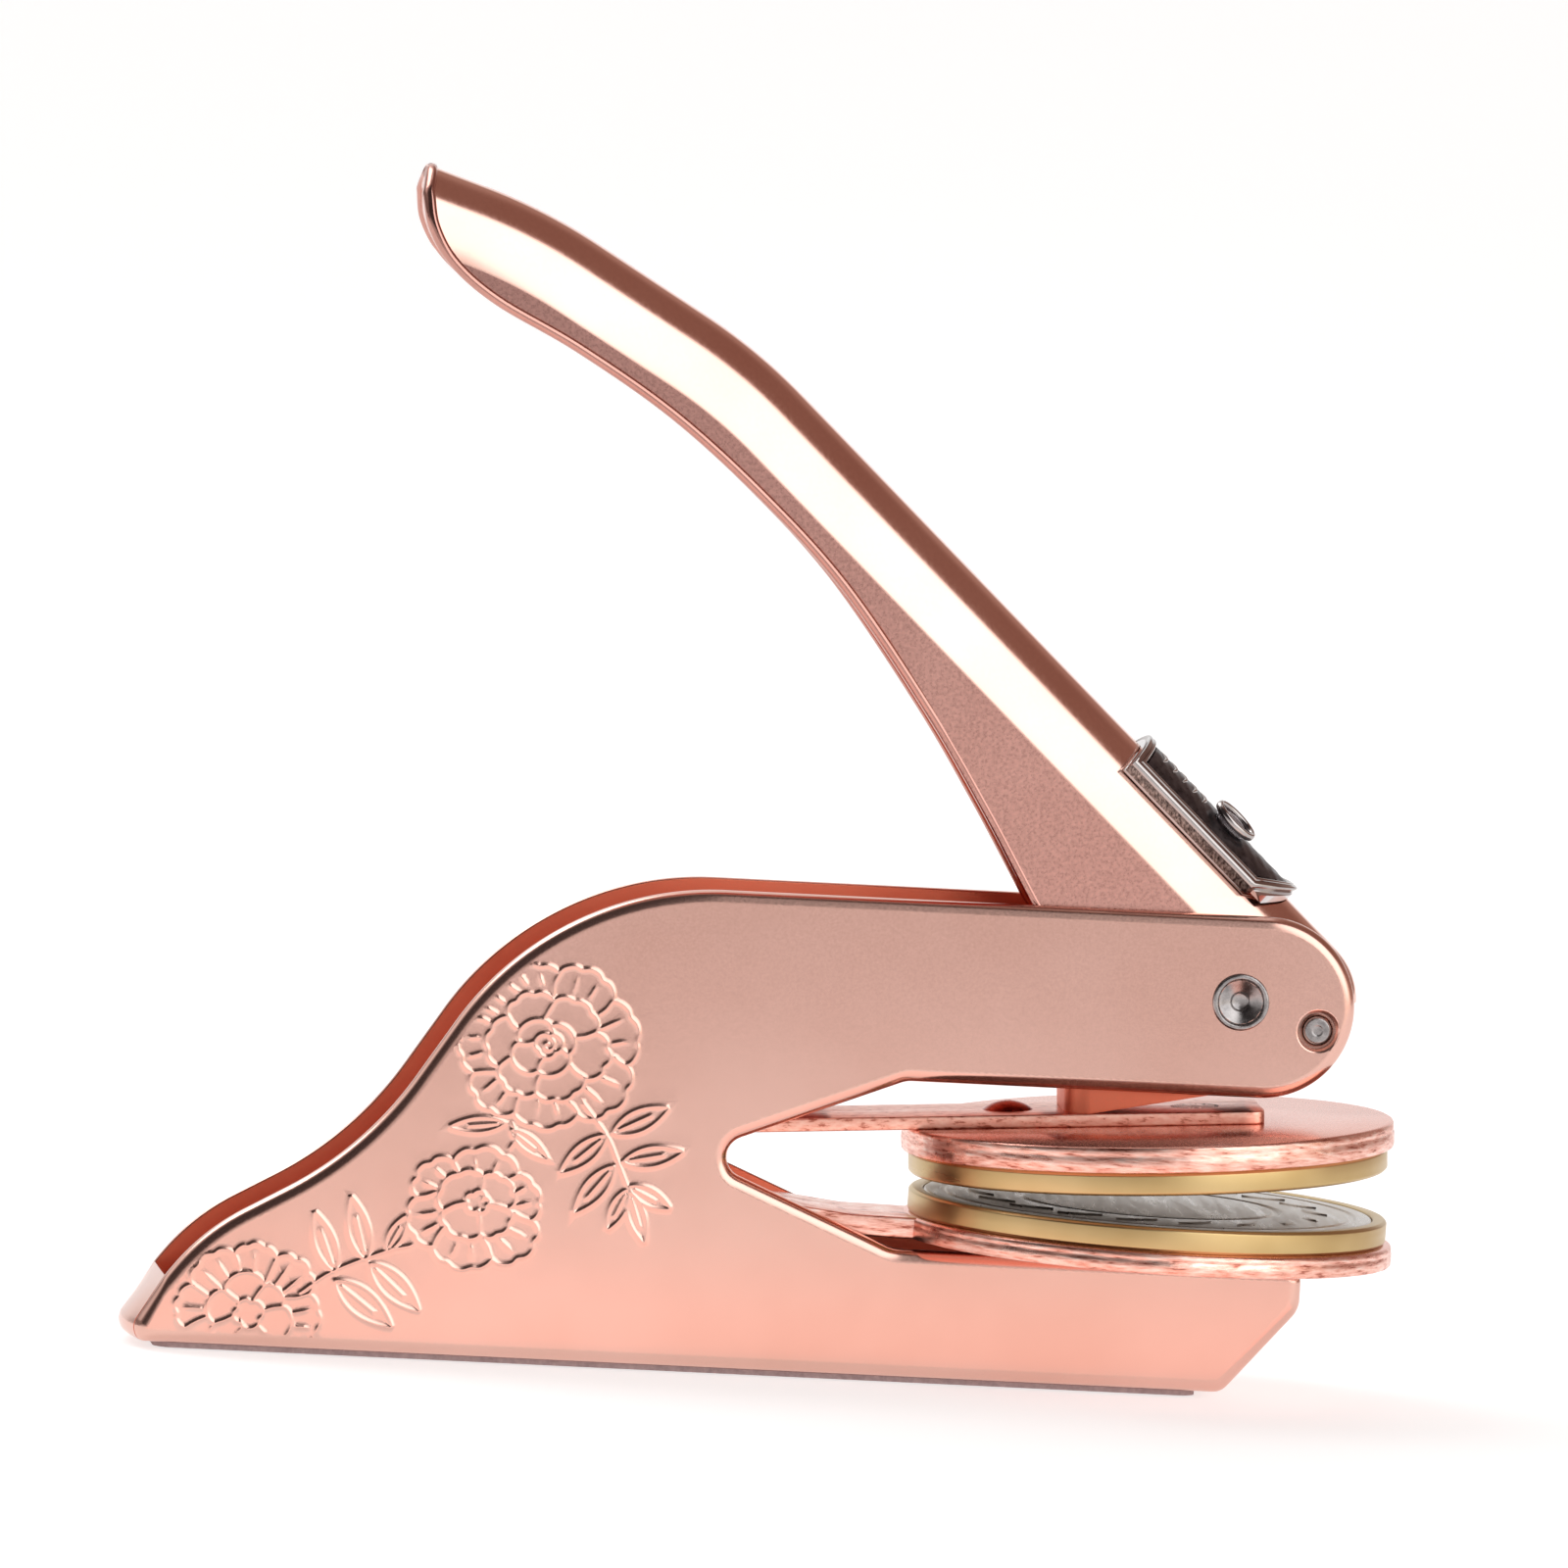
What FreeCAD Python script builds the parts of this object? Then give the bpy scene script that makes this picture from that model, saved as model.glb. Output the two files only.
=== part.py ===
import FreeCAD, Part
import os
from math import acos, cos, radians, sin, tan

# Hand embosser (embossing seal press), millimetres.
#
# Frame of reference: +X runs from the tail to the nose, Y is the width, +Z is up.
# The origin is the centre of the bounding box in X and Y, on the surface it stands on.
# Side outlines are written as (x, z) pairs.  A cast channel frame carries a fixed lower
# die and a pivoting lever.  The lever's cross pin pushes a block on a leaf spring, and
# the block brings the upper die down on the lower one.

# ---------------------------------------------------------------- driving dimensions

# Cast frame
FRAME_WIDTH = 16.0
WALL = 1.6
EDGE_ROUND = 1.3
BASE_PAD_THICKNESS = 0.6
FRAME_TOP = 51.4
ARM_BOTTOM = 32.1
BASE_TOP = 14.2
NOSE_X = 61.15
BASE_FRONT_X = 57.2
TAIL_X = -67.3
TAIL_PLAN_RADIUS = 22.0
MOUTH_CORNER_X = 14.0
MOUTH_APEX = (-8.25, 23.25)
MOUTH_TIP_RADIUS = 2.2
LIP_CORNER = (13.6, BASE_TOP, 5.0)
TAIL_CORNER = (-68.9, BASE_PAD_THICKNESS, 1.5)
TAIL_SHOULDER = (-59.5, 12.8, 24.0)
WAIST = (-43.03, 22.27, 38.0)
HUMP = (-24.4, FRAME_TOP, 33.0)
FLAT_TOP_X = 10.0

# Pivot, stop and cross pin
PIVOT = (48.9, 42.3)
PIVOT_SHANK_RADIUS = 2.3
PIVOT_RIM_RADIUS = 3.05
PIVOT_RIM_HEIGHT = 0.35
PIVOT_DIMPLE_RADIUS = 2.0
PIVOT_DIMPLE_DEPTH = 1.1
SPACER_RADIUS = 3.2
STOP = (57.3, 39.6)
STOP_RADIUS = 1.5
STOP_BEVEL_RADIUS = 2.2
STOP_BEVEL_DEPTH = 0.9
STOP_RECESS = 0.7
PUSHER = (PIVOT[0] - 9.15, PIVOT[1] - 2.1)
PUSHER_RADIUS = 2.5

# Lever
LEVER_WIDTH = 12.4
LEVER_WALL = 1.7
CROWN_ROUND = 6.1
CROWN_CORNERS = [(-60.0, 131.9, 0), (-29.1, 122.0, 60.0), (-5.55, 108.2, 60.0),
                 (62.1, 45.32, 7.5), (62.1, 10.0, 0)]
CROWN_TIP_LINE = [(-42.2, 123.6), (-40.0, 140.0)]
CAVITY_END = [(-39.9, 124.5), (-39.4, 118.9), (-36.2, 114.9), (-31.5, 112.0), (-29.5, 108.5)]
UNDER_POINTS = [(-42.2, 123.6), (-41.5, 119.8), (-39.1, 116.0), (-34.2, 112.2),
                (-25.3, 107.6), (-14.9, 101.1), (-5.0, 93.0), (4.2, 83.9),
                (13.9, 71.2), (20.5, 61.2), (26.3, 51.6)]
BOSS_RADIUS = 6.0
LOBE_RADIUS = 4.7

# Upper die stack, in its own tilted axes
UPPER_FACE = (41.0, 23.2)
UPPER_TILT = 3.7
PAD_RADIUS = 26.2
DIE_RADIUS = 25.4
UPPER_CUP_THICKNESS = 2.45
UPPER_PAD_THICKNESS = 2.85
LEAF_THICKNESS = 1.4
LEAF_RIVET_X = -14.9
LEAF_RIVET_RADIUS = 1.3
FLUSH_RIVET_X = 5.0
CUP_RIM_WIDTH = 1.5
INSERT_THICKNESS = 1.1
INSERT_RECESS = 0.1
PRESS_GAP = 0.12

# Lower die stack, in its own tilted axes
LOWER_FACE = (41.2, 19.75)
LOWER_TILT = -0.8
LOWER_CUP_THICKNESS = 2.6
LOWER_PLATE_THICKNESS = 2.3

# Die clip
CLIP_WIDTH = 12.2
CLIP_TAIL_X = -24.0
CLIP_TAIL_Z = 17.45
CLIP_SPACER_THICKNESS = 3.75
CLIP_SPACER_FRONT_X = -10.6
CLIP_RIVET_X = -14.0
CLIP_RIVET_Y = 3.2
CLIP_RIVET_RADIUS = 1.5
SCREW_RADIUS = 1.5
SCREW_HEAD_RADIUS = 2.75
SCREW_HEAD_HEIGHT = 2.0
SCREW_STATIONS = [-10.5, 1.5]

# Badge on the lever's crown
BADGE_START = 37.4
BADGE_END = 60.2
BADGE_HALF_ANGLE = 53.0
BADGE_BASE_RADIUS = 6.26
BADGE_AXIS_DEPTH = 6.2
BADGE_DATUM_X = 10.0
BADGE_FLOOR_RADIUS = 7.0
BADGE_RIM_RADIUS = 7.8
BADGE_INLAY_RADIUS = 7.35
BADGE_RIM_WIDTH = 1.3
BADGE_TOE_RADIUS = 6.4
BEZEL_STATION = 50.0

# Clearances
FIT = 0.02
RUNNING = 0.05

# ------------------------------------------------------------------ derived dimensions

HALF_WIDTH = FRAME_WIDTH / 2
HALF_GAP = HALF_WIDTH - WALL
FRAME_BOTTOM = BASE_PAD_THICKNESS
NOSE_RADIUS = (FRAME_TOP - ARM_BOTTOM) / 2
NOSE_CENTRE = (NOSE_X - NOSE_RADIUS, ARM_BOTTOM + NOSE_RADIUS)
LEAF_TOP = UPPER_CUP_THICKNESS + UPPER_PAD_THICKNESS + LEAF_THICKNESS
LOWER_STACK = LOWER_CUP_THICKNESS + LOWER_PLATE_THICKNESS
CLIP_SPACER_Z = CLIP_TAIL_Z + LOWER_PLATE_THICKNESS
CLIP_LEAF_Z = CLIP_SPACER_Z + CLIP_SPACER_THICKNESS
CLIP_TAIL_TOP = CLIP_LEAF_Z + LEAF_THICKNESS

V = FreeCAD.Vector
Y_AXIS = V(0, 1, 0)


# -------------------------------------------------------------------- general helpers

def at(point, y=0.0):
    """The 3-D point above an (x, z) pair."""
    return V(point[0], y, point[1])


def line(start, end):
    return Part.makeLine(at(start), at(end))


def spline(points):
    """A smooth edge through the points."""
    curve = Part.BSplineCurve()
    curve.interpolate(Points=[at(point) for point in points])
    return curve.toShape()


def rounded_path(corners):
    """Edges along (x, z, radius) corners.  The two end corners stay sharp."""
    edges = []
    cursor = at(corners[0])
    for before, corner, after in zip(corners, corners[1:], corners[2:]):
        tip = at(corner)
        back = (at(before) - tip).normalize()
        ahead = (at(after) - tip).normalize()
        if corner[2] <= 0:
            edges.append(Part.makeLine(cursor, tip))
            cursor = tip
            continue
        half = acos(back.dot(ahead)) / 2
        reach = corner[2] / tan(half)
        middle = (back + ahead).normalize() * (corner[2] / sin(half) - corner[2])
        first = tip + back * reach
        last = tip + ahead * reach
        if (first - cursor).Length > 1e-6:
            edges.append(Part.makeLine(cursor, first))
        edges.append(Part.Arc(first, tip + middle, last).toShape())
        cursor = last
    edges.append(Part.makeLine(cursor, at(corners[-1])))
    return edges


def slab(edges, half_width):
    """A closed side outline as a solid centred on Y = 0."""
    face = Part.Face(Part.Wire(Part.__sortEdges__(edges)))
    face.translate(V(0, -half_width, 0))
    return face.extrude(V(0, 2 * half_width, 0))


def polygon_slab(points, half_width):
    loop = [at(point) for point in points + points[:1]]
    face = Part.Face(Part.makePolygon(loop))
    face.translate(V(0, -half_width, 0))
    return face.extrude(V(0, 2 * half_width, 0))


def cross_cylinder(centre, radius, half_length):
    """A cylinder along Y."""
    return Part.makeCylinder(radius, 2 * half_length, at(centre, -half_length), Y_AXIS)


def disc(radius, bottom, thickness, x=0.0, y=0.0):
    return Part.makeCylinder(radius, thickness, V(x, y, bottom))


def place(shape, origin, tilt):
    """Move a shape from the axes of a tilted stack to the frame of reference."""
    placed = shape.copy()
    placed.rotate(V(0, 0, 0), Y_AXIS, -tilt)
    placed.translate(at(origin))
    return placed


def in_upper(shape):
    return place(shape, UPPER_FACE, UPPER_TILT)


def in_lower(shape):
    return place(shape, LOWER_FACE, LOWER_TILT)


def fuse_all(shapes):
    return shapes[0].multiFuse(shapes[1:]).removeSplitter()


def side_edges(solid, half_width):
    """The edges that lie in the two side planes of a slab."""
    found = []
    for edge in solid.Edges:
        box = edge.BoundBox
        flat = box.YLength < 1e-6
        if flat and abs(abs(box.YMin) - half_width) < 1e-6:
            found.append(edge)
    return found


def dome(radius, height, bottom, x=0.0, y=0.0):
    """A low spherical cap standing on the plane z = bottom."""
    ball_radius = (radius ** 2 + height ** 2) / (2 * height)
    ball = Part.makeSphere(ball_radius, V(x, y, bottom + height - ball_radius))
    return ball.common(disc(radius + 1, bottom, height + 1, x, y))


# ---------------------------------------------------------------------------- frame

def frame_blank():
    """The frame's full outline with rounded rims, before it is hollowed."""
    outline = rounded_path([
        (FLAT_TOP_X, FRAME_TOP, 0),
        (NOSE_X, FRAME_TOP, NOSE_RADIUS),
        (NOSE_X, ARM_BOTTOM, NOSE_RADIUS - 0.01),
        (MOUTH_CORNER_X, ARM_BOTTOM, 3.0),
        (MOUTH_APEX[0], MOUTH_APEX[1], MOUTH_TIP_RADIUS),
        LIP_CORNER,
        (BASE_FRONT_X, BASE_TOP, 1.6),
        (BASE_FRONT_X, 9.8, 3.0),
        (49.4, FRAME_BOTTOM, 2.0),
        TAIL_CORNER, TAIL_SHOULDER, WAIST, HUMP,
        (FLAT_TOP_X, FRAME_TOP, 0)])
    blank = slab(outline, HALF_WIDTH)
    blank = blank.makeFillet(EDGE_ROUND, side_edges(blank, HALF_WIDTH))
    return blank.cut(tail_trim())


def tail_trim():
    """What lies outside the tail's rounded plan."""
    block = Part.makeBox(6.0, FRAME_WIDTH + 2, 16.0, V(TAIL_X - 1, -HALF_WIDTH - 1, -1))
    round_plan = disc(TAIL_PLAN_RADIUS, -2, 20, TAIL_X + TAIL_PLAN_RADIUS)
    return block.cut(round_plan)


def frame_webs():
    """Cross walls that join the two side walls: floor, tail, front, arm, nose, clip slot."""
    floor = [(TAIL_X - 1, 0), (BASE_FRONT_X + 1, 0),
             (BASE_FRONT_X + 1, FRAME_BOTTOM + WALL), (TAIL_X - 1, FRAME_BOTTOM + WALL)]
    tail = [(TAIL_X - 1, 0), (-62.8, 0), (-62.8, 3.0), (-61.0, 7.2), (TAIL_X - 1, 7.2)]
    front = [(47.0, 0), (60, 0), (60, 15), (55.4, 15), (55.4, 10.4), (48.6, 2.2), (47.0, 2.2)]
    arm = [(7.0, 28), (29.4, 28), (29.4, ARM_BOTTOM + WALL),
           (MOUTH_CORNER_X - 0.4, ARM_BOTTOM + WALL), (7.0, 31.1)]
    slot_floor = [(CLIP_TAIL_X, 1), (CLIP_TAIL_X + 6, 1),
                  (CLIP_TAIL_X + 6, CLIP_TAIL_Z - RUNNING), (CLIP_TAIL_X, CLIP_TAIL_Z - RUNNING)]
    slot_roof_z = CLIP_TAIL_TOP + RUNNING
    slot_roof = [(CLIP_TAIL_X, slot_roof_z), (CLIP_TAIL_X + 6, slot_roof_z),
                 (CLIP_TAIL_X + 6, slot_roof_z + 3.5), (CLIP_TAIL_X, slot_roof_z + 3.5)]
    slot_end = [(CLIP_TAIL_X - 2, 1), (CLIP_TAIL_X - 0.1, 1),
                (CLIP_TAIL_X - 0.1, slot_roof_z + 3.5), (CLIP_TAIL_X - 2, slot_roof_z + 3.5)]
    outlines = [floor, tail, front, arm, slot_floor, slot_roof, slot_end]
    webs = [polygon_slab(outline, HALF_GAP) for outline in outlines]
    return webs + [nose_web()]


def nose_web():
    """A curved cross wall under and in front of the nose, below the lever's hood."""
    inner = NOSE_RADIUS - WALL
    steps = [radians(-90 + 17 * step) for step in range(5)]
    bend = [(NOSE_CENTRE[0] + inner * cos(a), NOSE_CENTRE[1] + inner * sin(a)) for a in steps]
    arc = Part.Arc(at(bend[0]), at(bend[2]), at(bend[4])).toShape()
    left_top = (51.3, bend[0][1])
    edges = [line(left_top, bend[0]), arc,
             line(bend[4], (NOSE_X + 2, bend[4][1])),
             line((NOSE_X + 2, bend[4][1]), (NOSE_X + 2, 30)),
             line((NOSE_X + 2, 30), (51.3, 30)),
             line((51.3, 30), left_top)]
    return slab(edges, HALF_GAP)


def anvil():
    """The block between the walls that the lower die plate rests on."""
    body = Part.makeBox(27.5, 2 * HALF_GAP, 6.0, V(-14.0, -HALF_GAP, -LOWER_STACK - 6.0))
    return in_lower(body)


def anvil_holes():
    """Clearance holes through the anvil, and access holes in the floor below them."""
    holes = []
    for x in SCREW_STATIONS:
        holes.append(in_lower(disc(SCREW_RADIUS + 0.15, -LOWER_STACK - 7, 8, x)))
        holes.append(disc(3.2, 0, 4, LOWER_FACE[0] + x))
    return holes


def pin_holes():
    """The pivot and stop holes through both walls, with the stop's bevelled mouths."""
    holes = [cross_cylinder(PIVOT, PIVOT_SHANK_RADIUS + FIT, HALF_WIDTH + 1),
             cross_cylinder(STOP, STOP_RADIUS + FIT, HALF_WIDTH + 1)]
    for side in (-1, 1):
        mouth = at(STOP, side * (HALF_WIDTH + 0.01))
        holes.append(Part.makeCone(STOP_BEVEL_RADIUS, STOP_RADIUS + FIT,
                                   STOP_BEVEL_DEPTH, mouth, V(0, -side, 0)))
    return holes


def body_frame():
    channel = Part.makeBox(160, 2 * HALF_GAP, 70, V(-80, -HALF_GAP, -5))
    cavity = channel.cut(fuse_all(frame_webs()))
    frame = frame_blank().cut(cavity).fuse(anvil())
    return frame.cut(fuse_all(anvil_holes() + pin_holes())).removeSplitter()


def base_pad():
    """A thin anti-slip pad under the floor, with round corners."""
    width = 2 * (HALF_WIDTH - EDGE_ROUND) - 0.5
    left = TAIL_X + 3.2
    length = 46.8 - left
    pad = Part.makeBox(length, width, BASE_PAD_THICKNESS, V(left, -width / 2, 0))
    upright = [edge for edge in pad.Edges if edge.BoundBox.ZLength > 0.1]
    return pad.makeFillet(2.0, upright)


# ------------------------------------------------------------------------------ pins

def pivot_rivet():
    """A through rivet: flared rims on both sides, each with a conical dimple."""
    rivet = cross_cylinder(PIVOT, PIVOT_SHANK_RADIUS, HALF_WIDTH + PIVOT_RIM_HEIGHT)
    for side in (-1, 1):
        outside = at(PIVOT, side * HALF_WIDTH)
        rim = Part.makeCone(PIVOT_RIM_RADIUS, PIVOT_RIM_RADIUS - 0.25,
                            PIVOT_RIM_HEIGHT, outside, V(0, side, 0))
        rivet = rivet.fuse(rim)
    for side in (-1, 1):
        mouth = at(PIVOT, side * (HALF_WIDTH + PIVOT_RIM_HEIGHT + 0.01))
        dimple = Part.makeCone(PIVOT_DIMPLE_RADIUS, 0.3, PIVOT_DIMPLE_DEPTH,
                               mouth, V(0, -side, 0))
        rivet = rivet.cut(dimple)
    return rivet


def pivot_spacer():
    """A tube on the rivet that keeps the frame's walls apart; the lever turns on it."""
    tube = cross_cylinder(PIVOT, SPACER_RADIUS, HALF_GAP - FIT)
    return tube.cut(cross_cylinder(PIVOT, PIVOT_SHANK_RADIUS + FIT, HALF_GAP))


def stop_pin():
    pin = cross_cylinder(STOP, STOP_RADIUS, HALF_WIDTH - STOP_RECESS)
    return pin.makeChamfer(0.25, side_edges(pin, HALF_WIDTH - STOP_RECESS))


def pusher_pin():
    half_length = LEVER_WIDTH / 2 - 0.2
    pin = cross_cylinder(PUSHER, PUSHER_RADIUS, half_length)
    return pin.makeChamfer(0.3, side_edges(pin, half_length))


# ----------------------------------------------------------------------------- lever

def inset_corners(corners, distance):
    """Corners moved square to their path, towards its right-hand side."""
    moved = []
    for index, corner in enumerate(corners):
        before = at(corners[max(index - 1, 0)])
        after = at(corners[min(index + 1, len(corners) - 1)])
        here = at(corner)
        first = (here - before) if index > 0 else (after - here)
        last = (after - here) if index < len(corners) - 1 else first
        first = V(first).normalize()
        last = V(last).normalize()
        bisector = (first + last).normalize()
        reach = distance / bisector.dot(first)
        radius = corner[2] - distance if corner[2] > 0 else 0
        moved.append((here.x + bisector.z * reach, here.z - bisector.x * reach, radius))
    return moved


def crowned_block(inset, half_width, rounding):
    """A deep block with a rounded crown, much larger than the lever below its crown."""
    corners = inset_corners(CROWN_CORNERS, inset)
    start = corners[0]
    end = corners[-1]
    outline = rounded_path(corners)
    outline.append(line(end, (start[0], end[1])))
    outline.append(line((start[0], end[1]), start))
    block = slab(outline, half_width)
    crown = []
    for edge in side_edges(block, half_width):
        box = edge.BoundBox
        on_floor = box.ZMax < end[1] + 1e-6
        at_start = box.XMax < start[0] + 1e-6
        if not on_floor and not at_start:
            crown.append(edge)
    return block.makeFillet(rounding, crown)


def lever_profile():
    """The lever's true side outline, from its tip to the cheeks inside the frame."""
    under = spline(UNDER_POINTS)
    stop_line = [(64.0, 42.55), (55.6, 40.95)]
    lobe_angle = radians(215)
    lobe_left = (PUSHER[0] + LOBE_RADIUS * cos(lobe_angle),
                 PUSHER[1] + LOBE_RADIUS * sin(lobe_angle))
    lobe_low = (PUSHER[0], PUSHER[1] - LOBE_RADIUS)
    lobe_middle_angle = radians(242.5)
    lobe_middle = (PUSHER[0] + LOBE_RADIUS * cos(lobe_middle_angle),
                   PUSHER[1] + LOBE_RADIUS * sin(lobe_middle_angle))
    boss_low = (PIVOT[0], PIVOT[1] - BOSS_RADIUS)
    boss_turn = radians(-14)
    boss_end = (PIVOT[0] + BOSS_RADIUS * cos(boss_turn), PIVOT[1] + BOSS_RADIUS * sin(boss_turn))
    boss_middle = (PIVOT[0] + BOSS_RADIUS * cos(radians(-52)),
                   PIVOT[1] + BOSS_RADIUS * sin(radians(-52)))
    edges = [under,
             line(UNDER_POINTS[-1], lobe_left),
             Part.Arc(at(lobe_left), at(lobe_middle), at(lobe_low)).toShape(),
             line(lobe_low, boss_low),
             Part.Arc(at(boss_low), at(boss_middle), at(boss_end)).toShape(),
             line(boss_end, stop_line[1]),
             line(stop_line[1], stop_line[0]),
             line(stop_line[0], (72, 70)),
             line((72, 70), (20, 140)),
             line((20, 140), CROWN_TIP_LINE[1]),
             line(CROWN_TIP_LINE[1], CROWN_TIP_LINE[0])]
    return slab(edges, LEVER_WIDTH / 2 + 1)


def handle():
    """The lever: a channel with a half-round crown, open underneath."""
    outside = crowned_block(0.0, LEVER_WIDTH / 2, CROWN_ROUND)
    inside = crowned_block(LEVER_WALL, LEVER_WIDTH / 2 - LEVER_WALL, CROWN_ROUND - LEVER_WALL)
    reach = [(-29.5, 20.0), (80.0, 20.0), (80.0, 140.0), (-39.9, 140.0)]
    inside = inside.common(polygon_slab(CAVITY_END + reach, LEVER_WIDTH))
    lever = outside.common(lever_profile()).cut(inside)
    holes = [cross_cylinder(PIVOT, SPACER_RADIUS + RUNNING, LEVER_WIDTH),
             cross_cylinder(PUSHER, PUSHER_RADIUS + FIT, LEVER_WIDTH)]
    holes += [stud.copy() for stud in badge_stud_solids(0.9 + FIT)]
    return lever.cut(fuse_all(holes)).removeSplitter()


# ------------------------------------------------------------------------- die clip

def thick_path(corners, thickness, half_width):
    """A bent strip: a rounded centre line given a thickness and a width."""
    upper = []
    lower = []
    count = len(corners)
    for index, corner in enumerate(corners):
        before = corners[max(index - 1, 0)]
        after = corners[min(index + 1, count - 1)]
        first = (at(corner) - at(before)) if index > 0 else (at(after) - at(corner))
        last = (at(after) - at(corner)) if index < count - 1 else first
        bisector = (first.normalize() + last.normalize()).normalize()
        square = V(-bisector.z, 0, bisector.x)
        stretch = thickness / 2 / abs(bisector.dot(first))
        turn = first.cross(last).y
        grow = 1 if turn > 0 else -1
        bend = corner[2]
        upper.append((corner[0] + square.x * stretch, corner[1] + square.z * stretch,
                      bend + grow * thickness / 2 if bend else 0))
        lower.append((corner[0] - square.x * stretch, corner[1] - square.z * stretch,
                      bend - grow * thickness / 2 if bend else 0))
    edges = rounded_path(upper) + rounded_path(lower)
    edges.append(line(upper[0], lower[0]))
    edges.append(line(upper[-1], lower[-1]))
    return slab(edges, half_width)


def clip_lower_plate():
    """The fixed jaw: a round die pad with an arm that runs back into the frame."""
    bottom = -LOWER_STACK
    pad = in_lower(disc(PAD_RADIUS, bottom, LOWER_PLATE_THICKNESS))
    middle = bottom + LOWER_PLATE_THICKNESS / 2
    drop = radians(LOWER_TILT)
    bend_x = 9.0
    bend_z = LOWER_FACE[1] + middle / cos(drop) + (bend_x - LOWER_FACE[0]) * tan(drop)
    under_pad_x = 24.0
    under_pad_z = LOWER_FACE[1] + middle / cos(drop) + (under_pad_x - LOWER_FACE[0]) * tan(drop)
    tail_z = CLIP_TAIL_Z + LOWER_PLATE_THICKNESS / 2
    arm = thick_path([(CLIP_TAIL_X, tail_z, 0), (-9.0, tail_z, 8.0),
                      (bend_x, bend_z, 8.0), (under_pad_x, under_pad_z, 0)],
                     LOWER_PLATE_THICKNESS, CLIP_WIDTH / 2)
    plate = fuse_all([pad, arm])
    holes = [in_lower(disc(SCREW_RADIUS + RUNNING, bottom - 1, 2.75, x))
             for x in SCREW_STATIONS]
    return plate.cut(fuse_all(holes + clip_rivet_shanks(FIT)))


def clip_leaf_spring():
    """The spring jaw: a steel strip from the clip's tail to the top of the upper pad."""
    middle = LEAF_TOP - LEAF_THICKNESS / 2
    rise = radians(UPPER_TILT)

    def on_stack(x):
        return UPPER_FACE[1] + middle / cos(rise) + (x - UPPER_FACE[0]) * tan(rise)

    tail_z = CLIP_LEAF_Z + LEAF_THICKNESS / 2
    strip = thick_path([(CLIP_TAIL_X, tail_z, 0), (-10.0, tail_z, 6.0),
                        (-3.2, on_stack(-3.2), 6.0), (52.5, on_stack(52.5), 0)],
                       LEAF_THICKNESS, CLIP_WIDTH / 2)
    nose = []
    for edge in strip.Edges:
        box = edge.BoundBox
        if box.XMin > 52.0 and box.YLength < 1e-6 and box.ZLength > 0.5 * LEAF_THICKNESS:
            nose.append(edge)
    strip = strip.makeFillet(1.2, nose)
    holes = [in_upper(disc(LEAF_RIVET_RADIUS + FIT, 0, 12, LEAF_RIVET_X)),
             in_upper(flush_rivet_shape(FIT))]
    return strip.cut(fuse_all(holes + clip_rivet_shanks(FIT)))


def clip_spacer():
    """The block that keeps the two jaws of the clip apart at its tail."""
    length = CLIP_SPACER_FRONT_X - CLIP_TAIL_X
    block = Part.makeBox(length, CLIP_WIDTH, CLIP_SPACER_THICKNESS,
                         V(CLIP_TAIL_X, -CLIP_WIDTH / 2, CLIP_SPACER_Z))
    upright = [edge for edge in block.Edges if edge.BoundBox.ZLength > 1]
    return block.makeFillet(0.8, upright).cut(fuse_all(clip_rivet_shanks(FIT)))


def clip_rivet_shanks(gap):
    shanks = []
    length = CLIP_TAIL_TOP - CLIP_TAIL_Z
    for y in (-CLIP_RIVET_Y, CLIP_RIVET_Y):
        shanks.append(disc(CLIP_RIVET_RADIUS + gap, CLIP_TAIL_Z - 1, length + 2, CLIP_RIVET_X, y))
    return shanks


def clip_rear_rivets():
    """Two domed rivets that hold the two jaws and the spacer together at the tail."""
    top = CLIP_TAIL_TOP
    rivets = []
    for y in (-CLIP_RIVET_Y, CLIP_RIVET_Y):
        shank = disc(CLIP_RIVET_RADIUS, CLIP_TAIL_Z - 0.1, top - CLIP_TAIL_Z + 0.2,
                     CLIP_RIVET_X, y)
        head = dome(2.4, 0.9, top, CLIP_RIVET_X, y)
        tail = dome(2.4, 0.9, 0, CLIP_RIVET_X, y)
        tail = tail.mirror(V(0, 0, 0), V(0, 0, 1))
        tail.translate(V(0, 0, CLIP_TAIL_Z))
        rivets.append(fuse_all([shank, head, tail]))
    return Part.makeCompound(rivets)


def clip_screws():
    """Two cheese-head screws from below that hold the lower jaw on the anvil."""
    screws = []
    seat = -LOWER_STACK - 6.0
    for x in SCREW_STATIONS:
        shank = disc(SCREW_RADIUS, seat, 7.6, x)
        head = disc(SCREW_HEAD_RADIUS, seat - SCREW_HEAD_HEIGHT, SCREW_HEAD_HEIGHT, x)
        slot = Part.makeBox(8, 0.8, 1.0, V(x - 4, -0.4, seat - SCREW_HEAD_HEIGHT - 0.1))
        screws.append(in_lower(head.fuse(shank).cut(slot)))
    return Part.makeCompound(screws)


# ---------------------------------------------------------------------------- dies

def cup(thickness):
    """A brass die holder: a disc with a shallow seat in its face, face at w = 0."""
    body = disc(DIE_RADIUS, 0, thickness)
    seat_depth = INSERT_THICKNESS + INSERT_RECESS
    body = body.cut(disc(DIE_RADIUS - CUP_RIM_WIDTH, -1, seat_depth + 1))
    rim = [edge for edge in body.Edges if edge.BoundBox.ZMax < 1e-6
           and edge.BoundBox.XLength > 2 * DIE_RADIUS - 0.5]
    return body.makeChamfer(0.25, rim)


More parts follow.
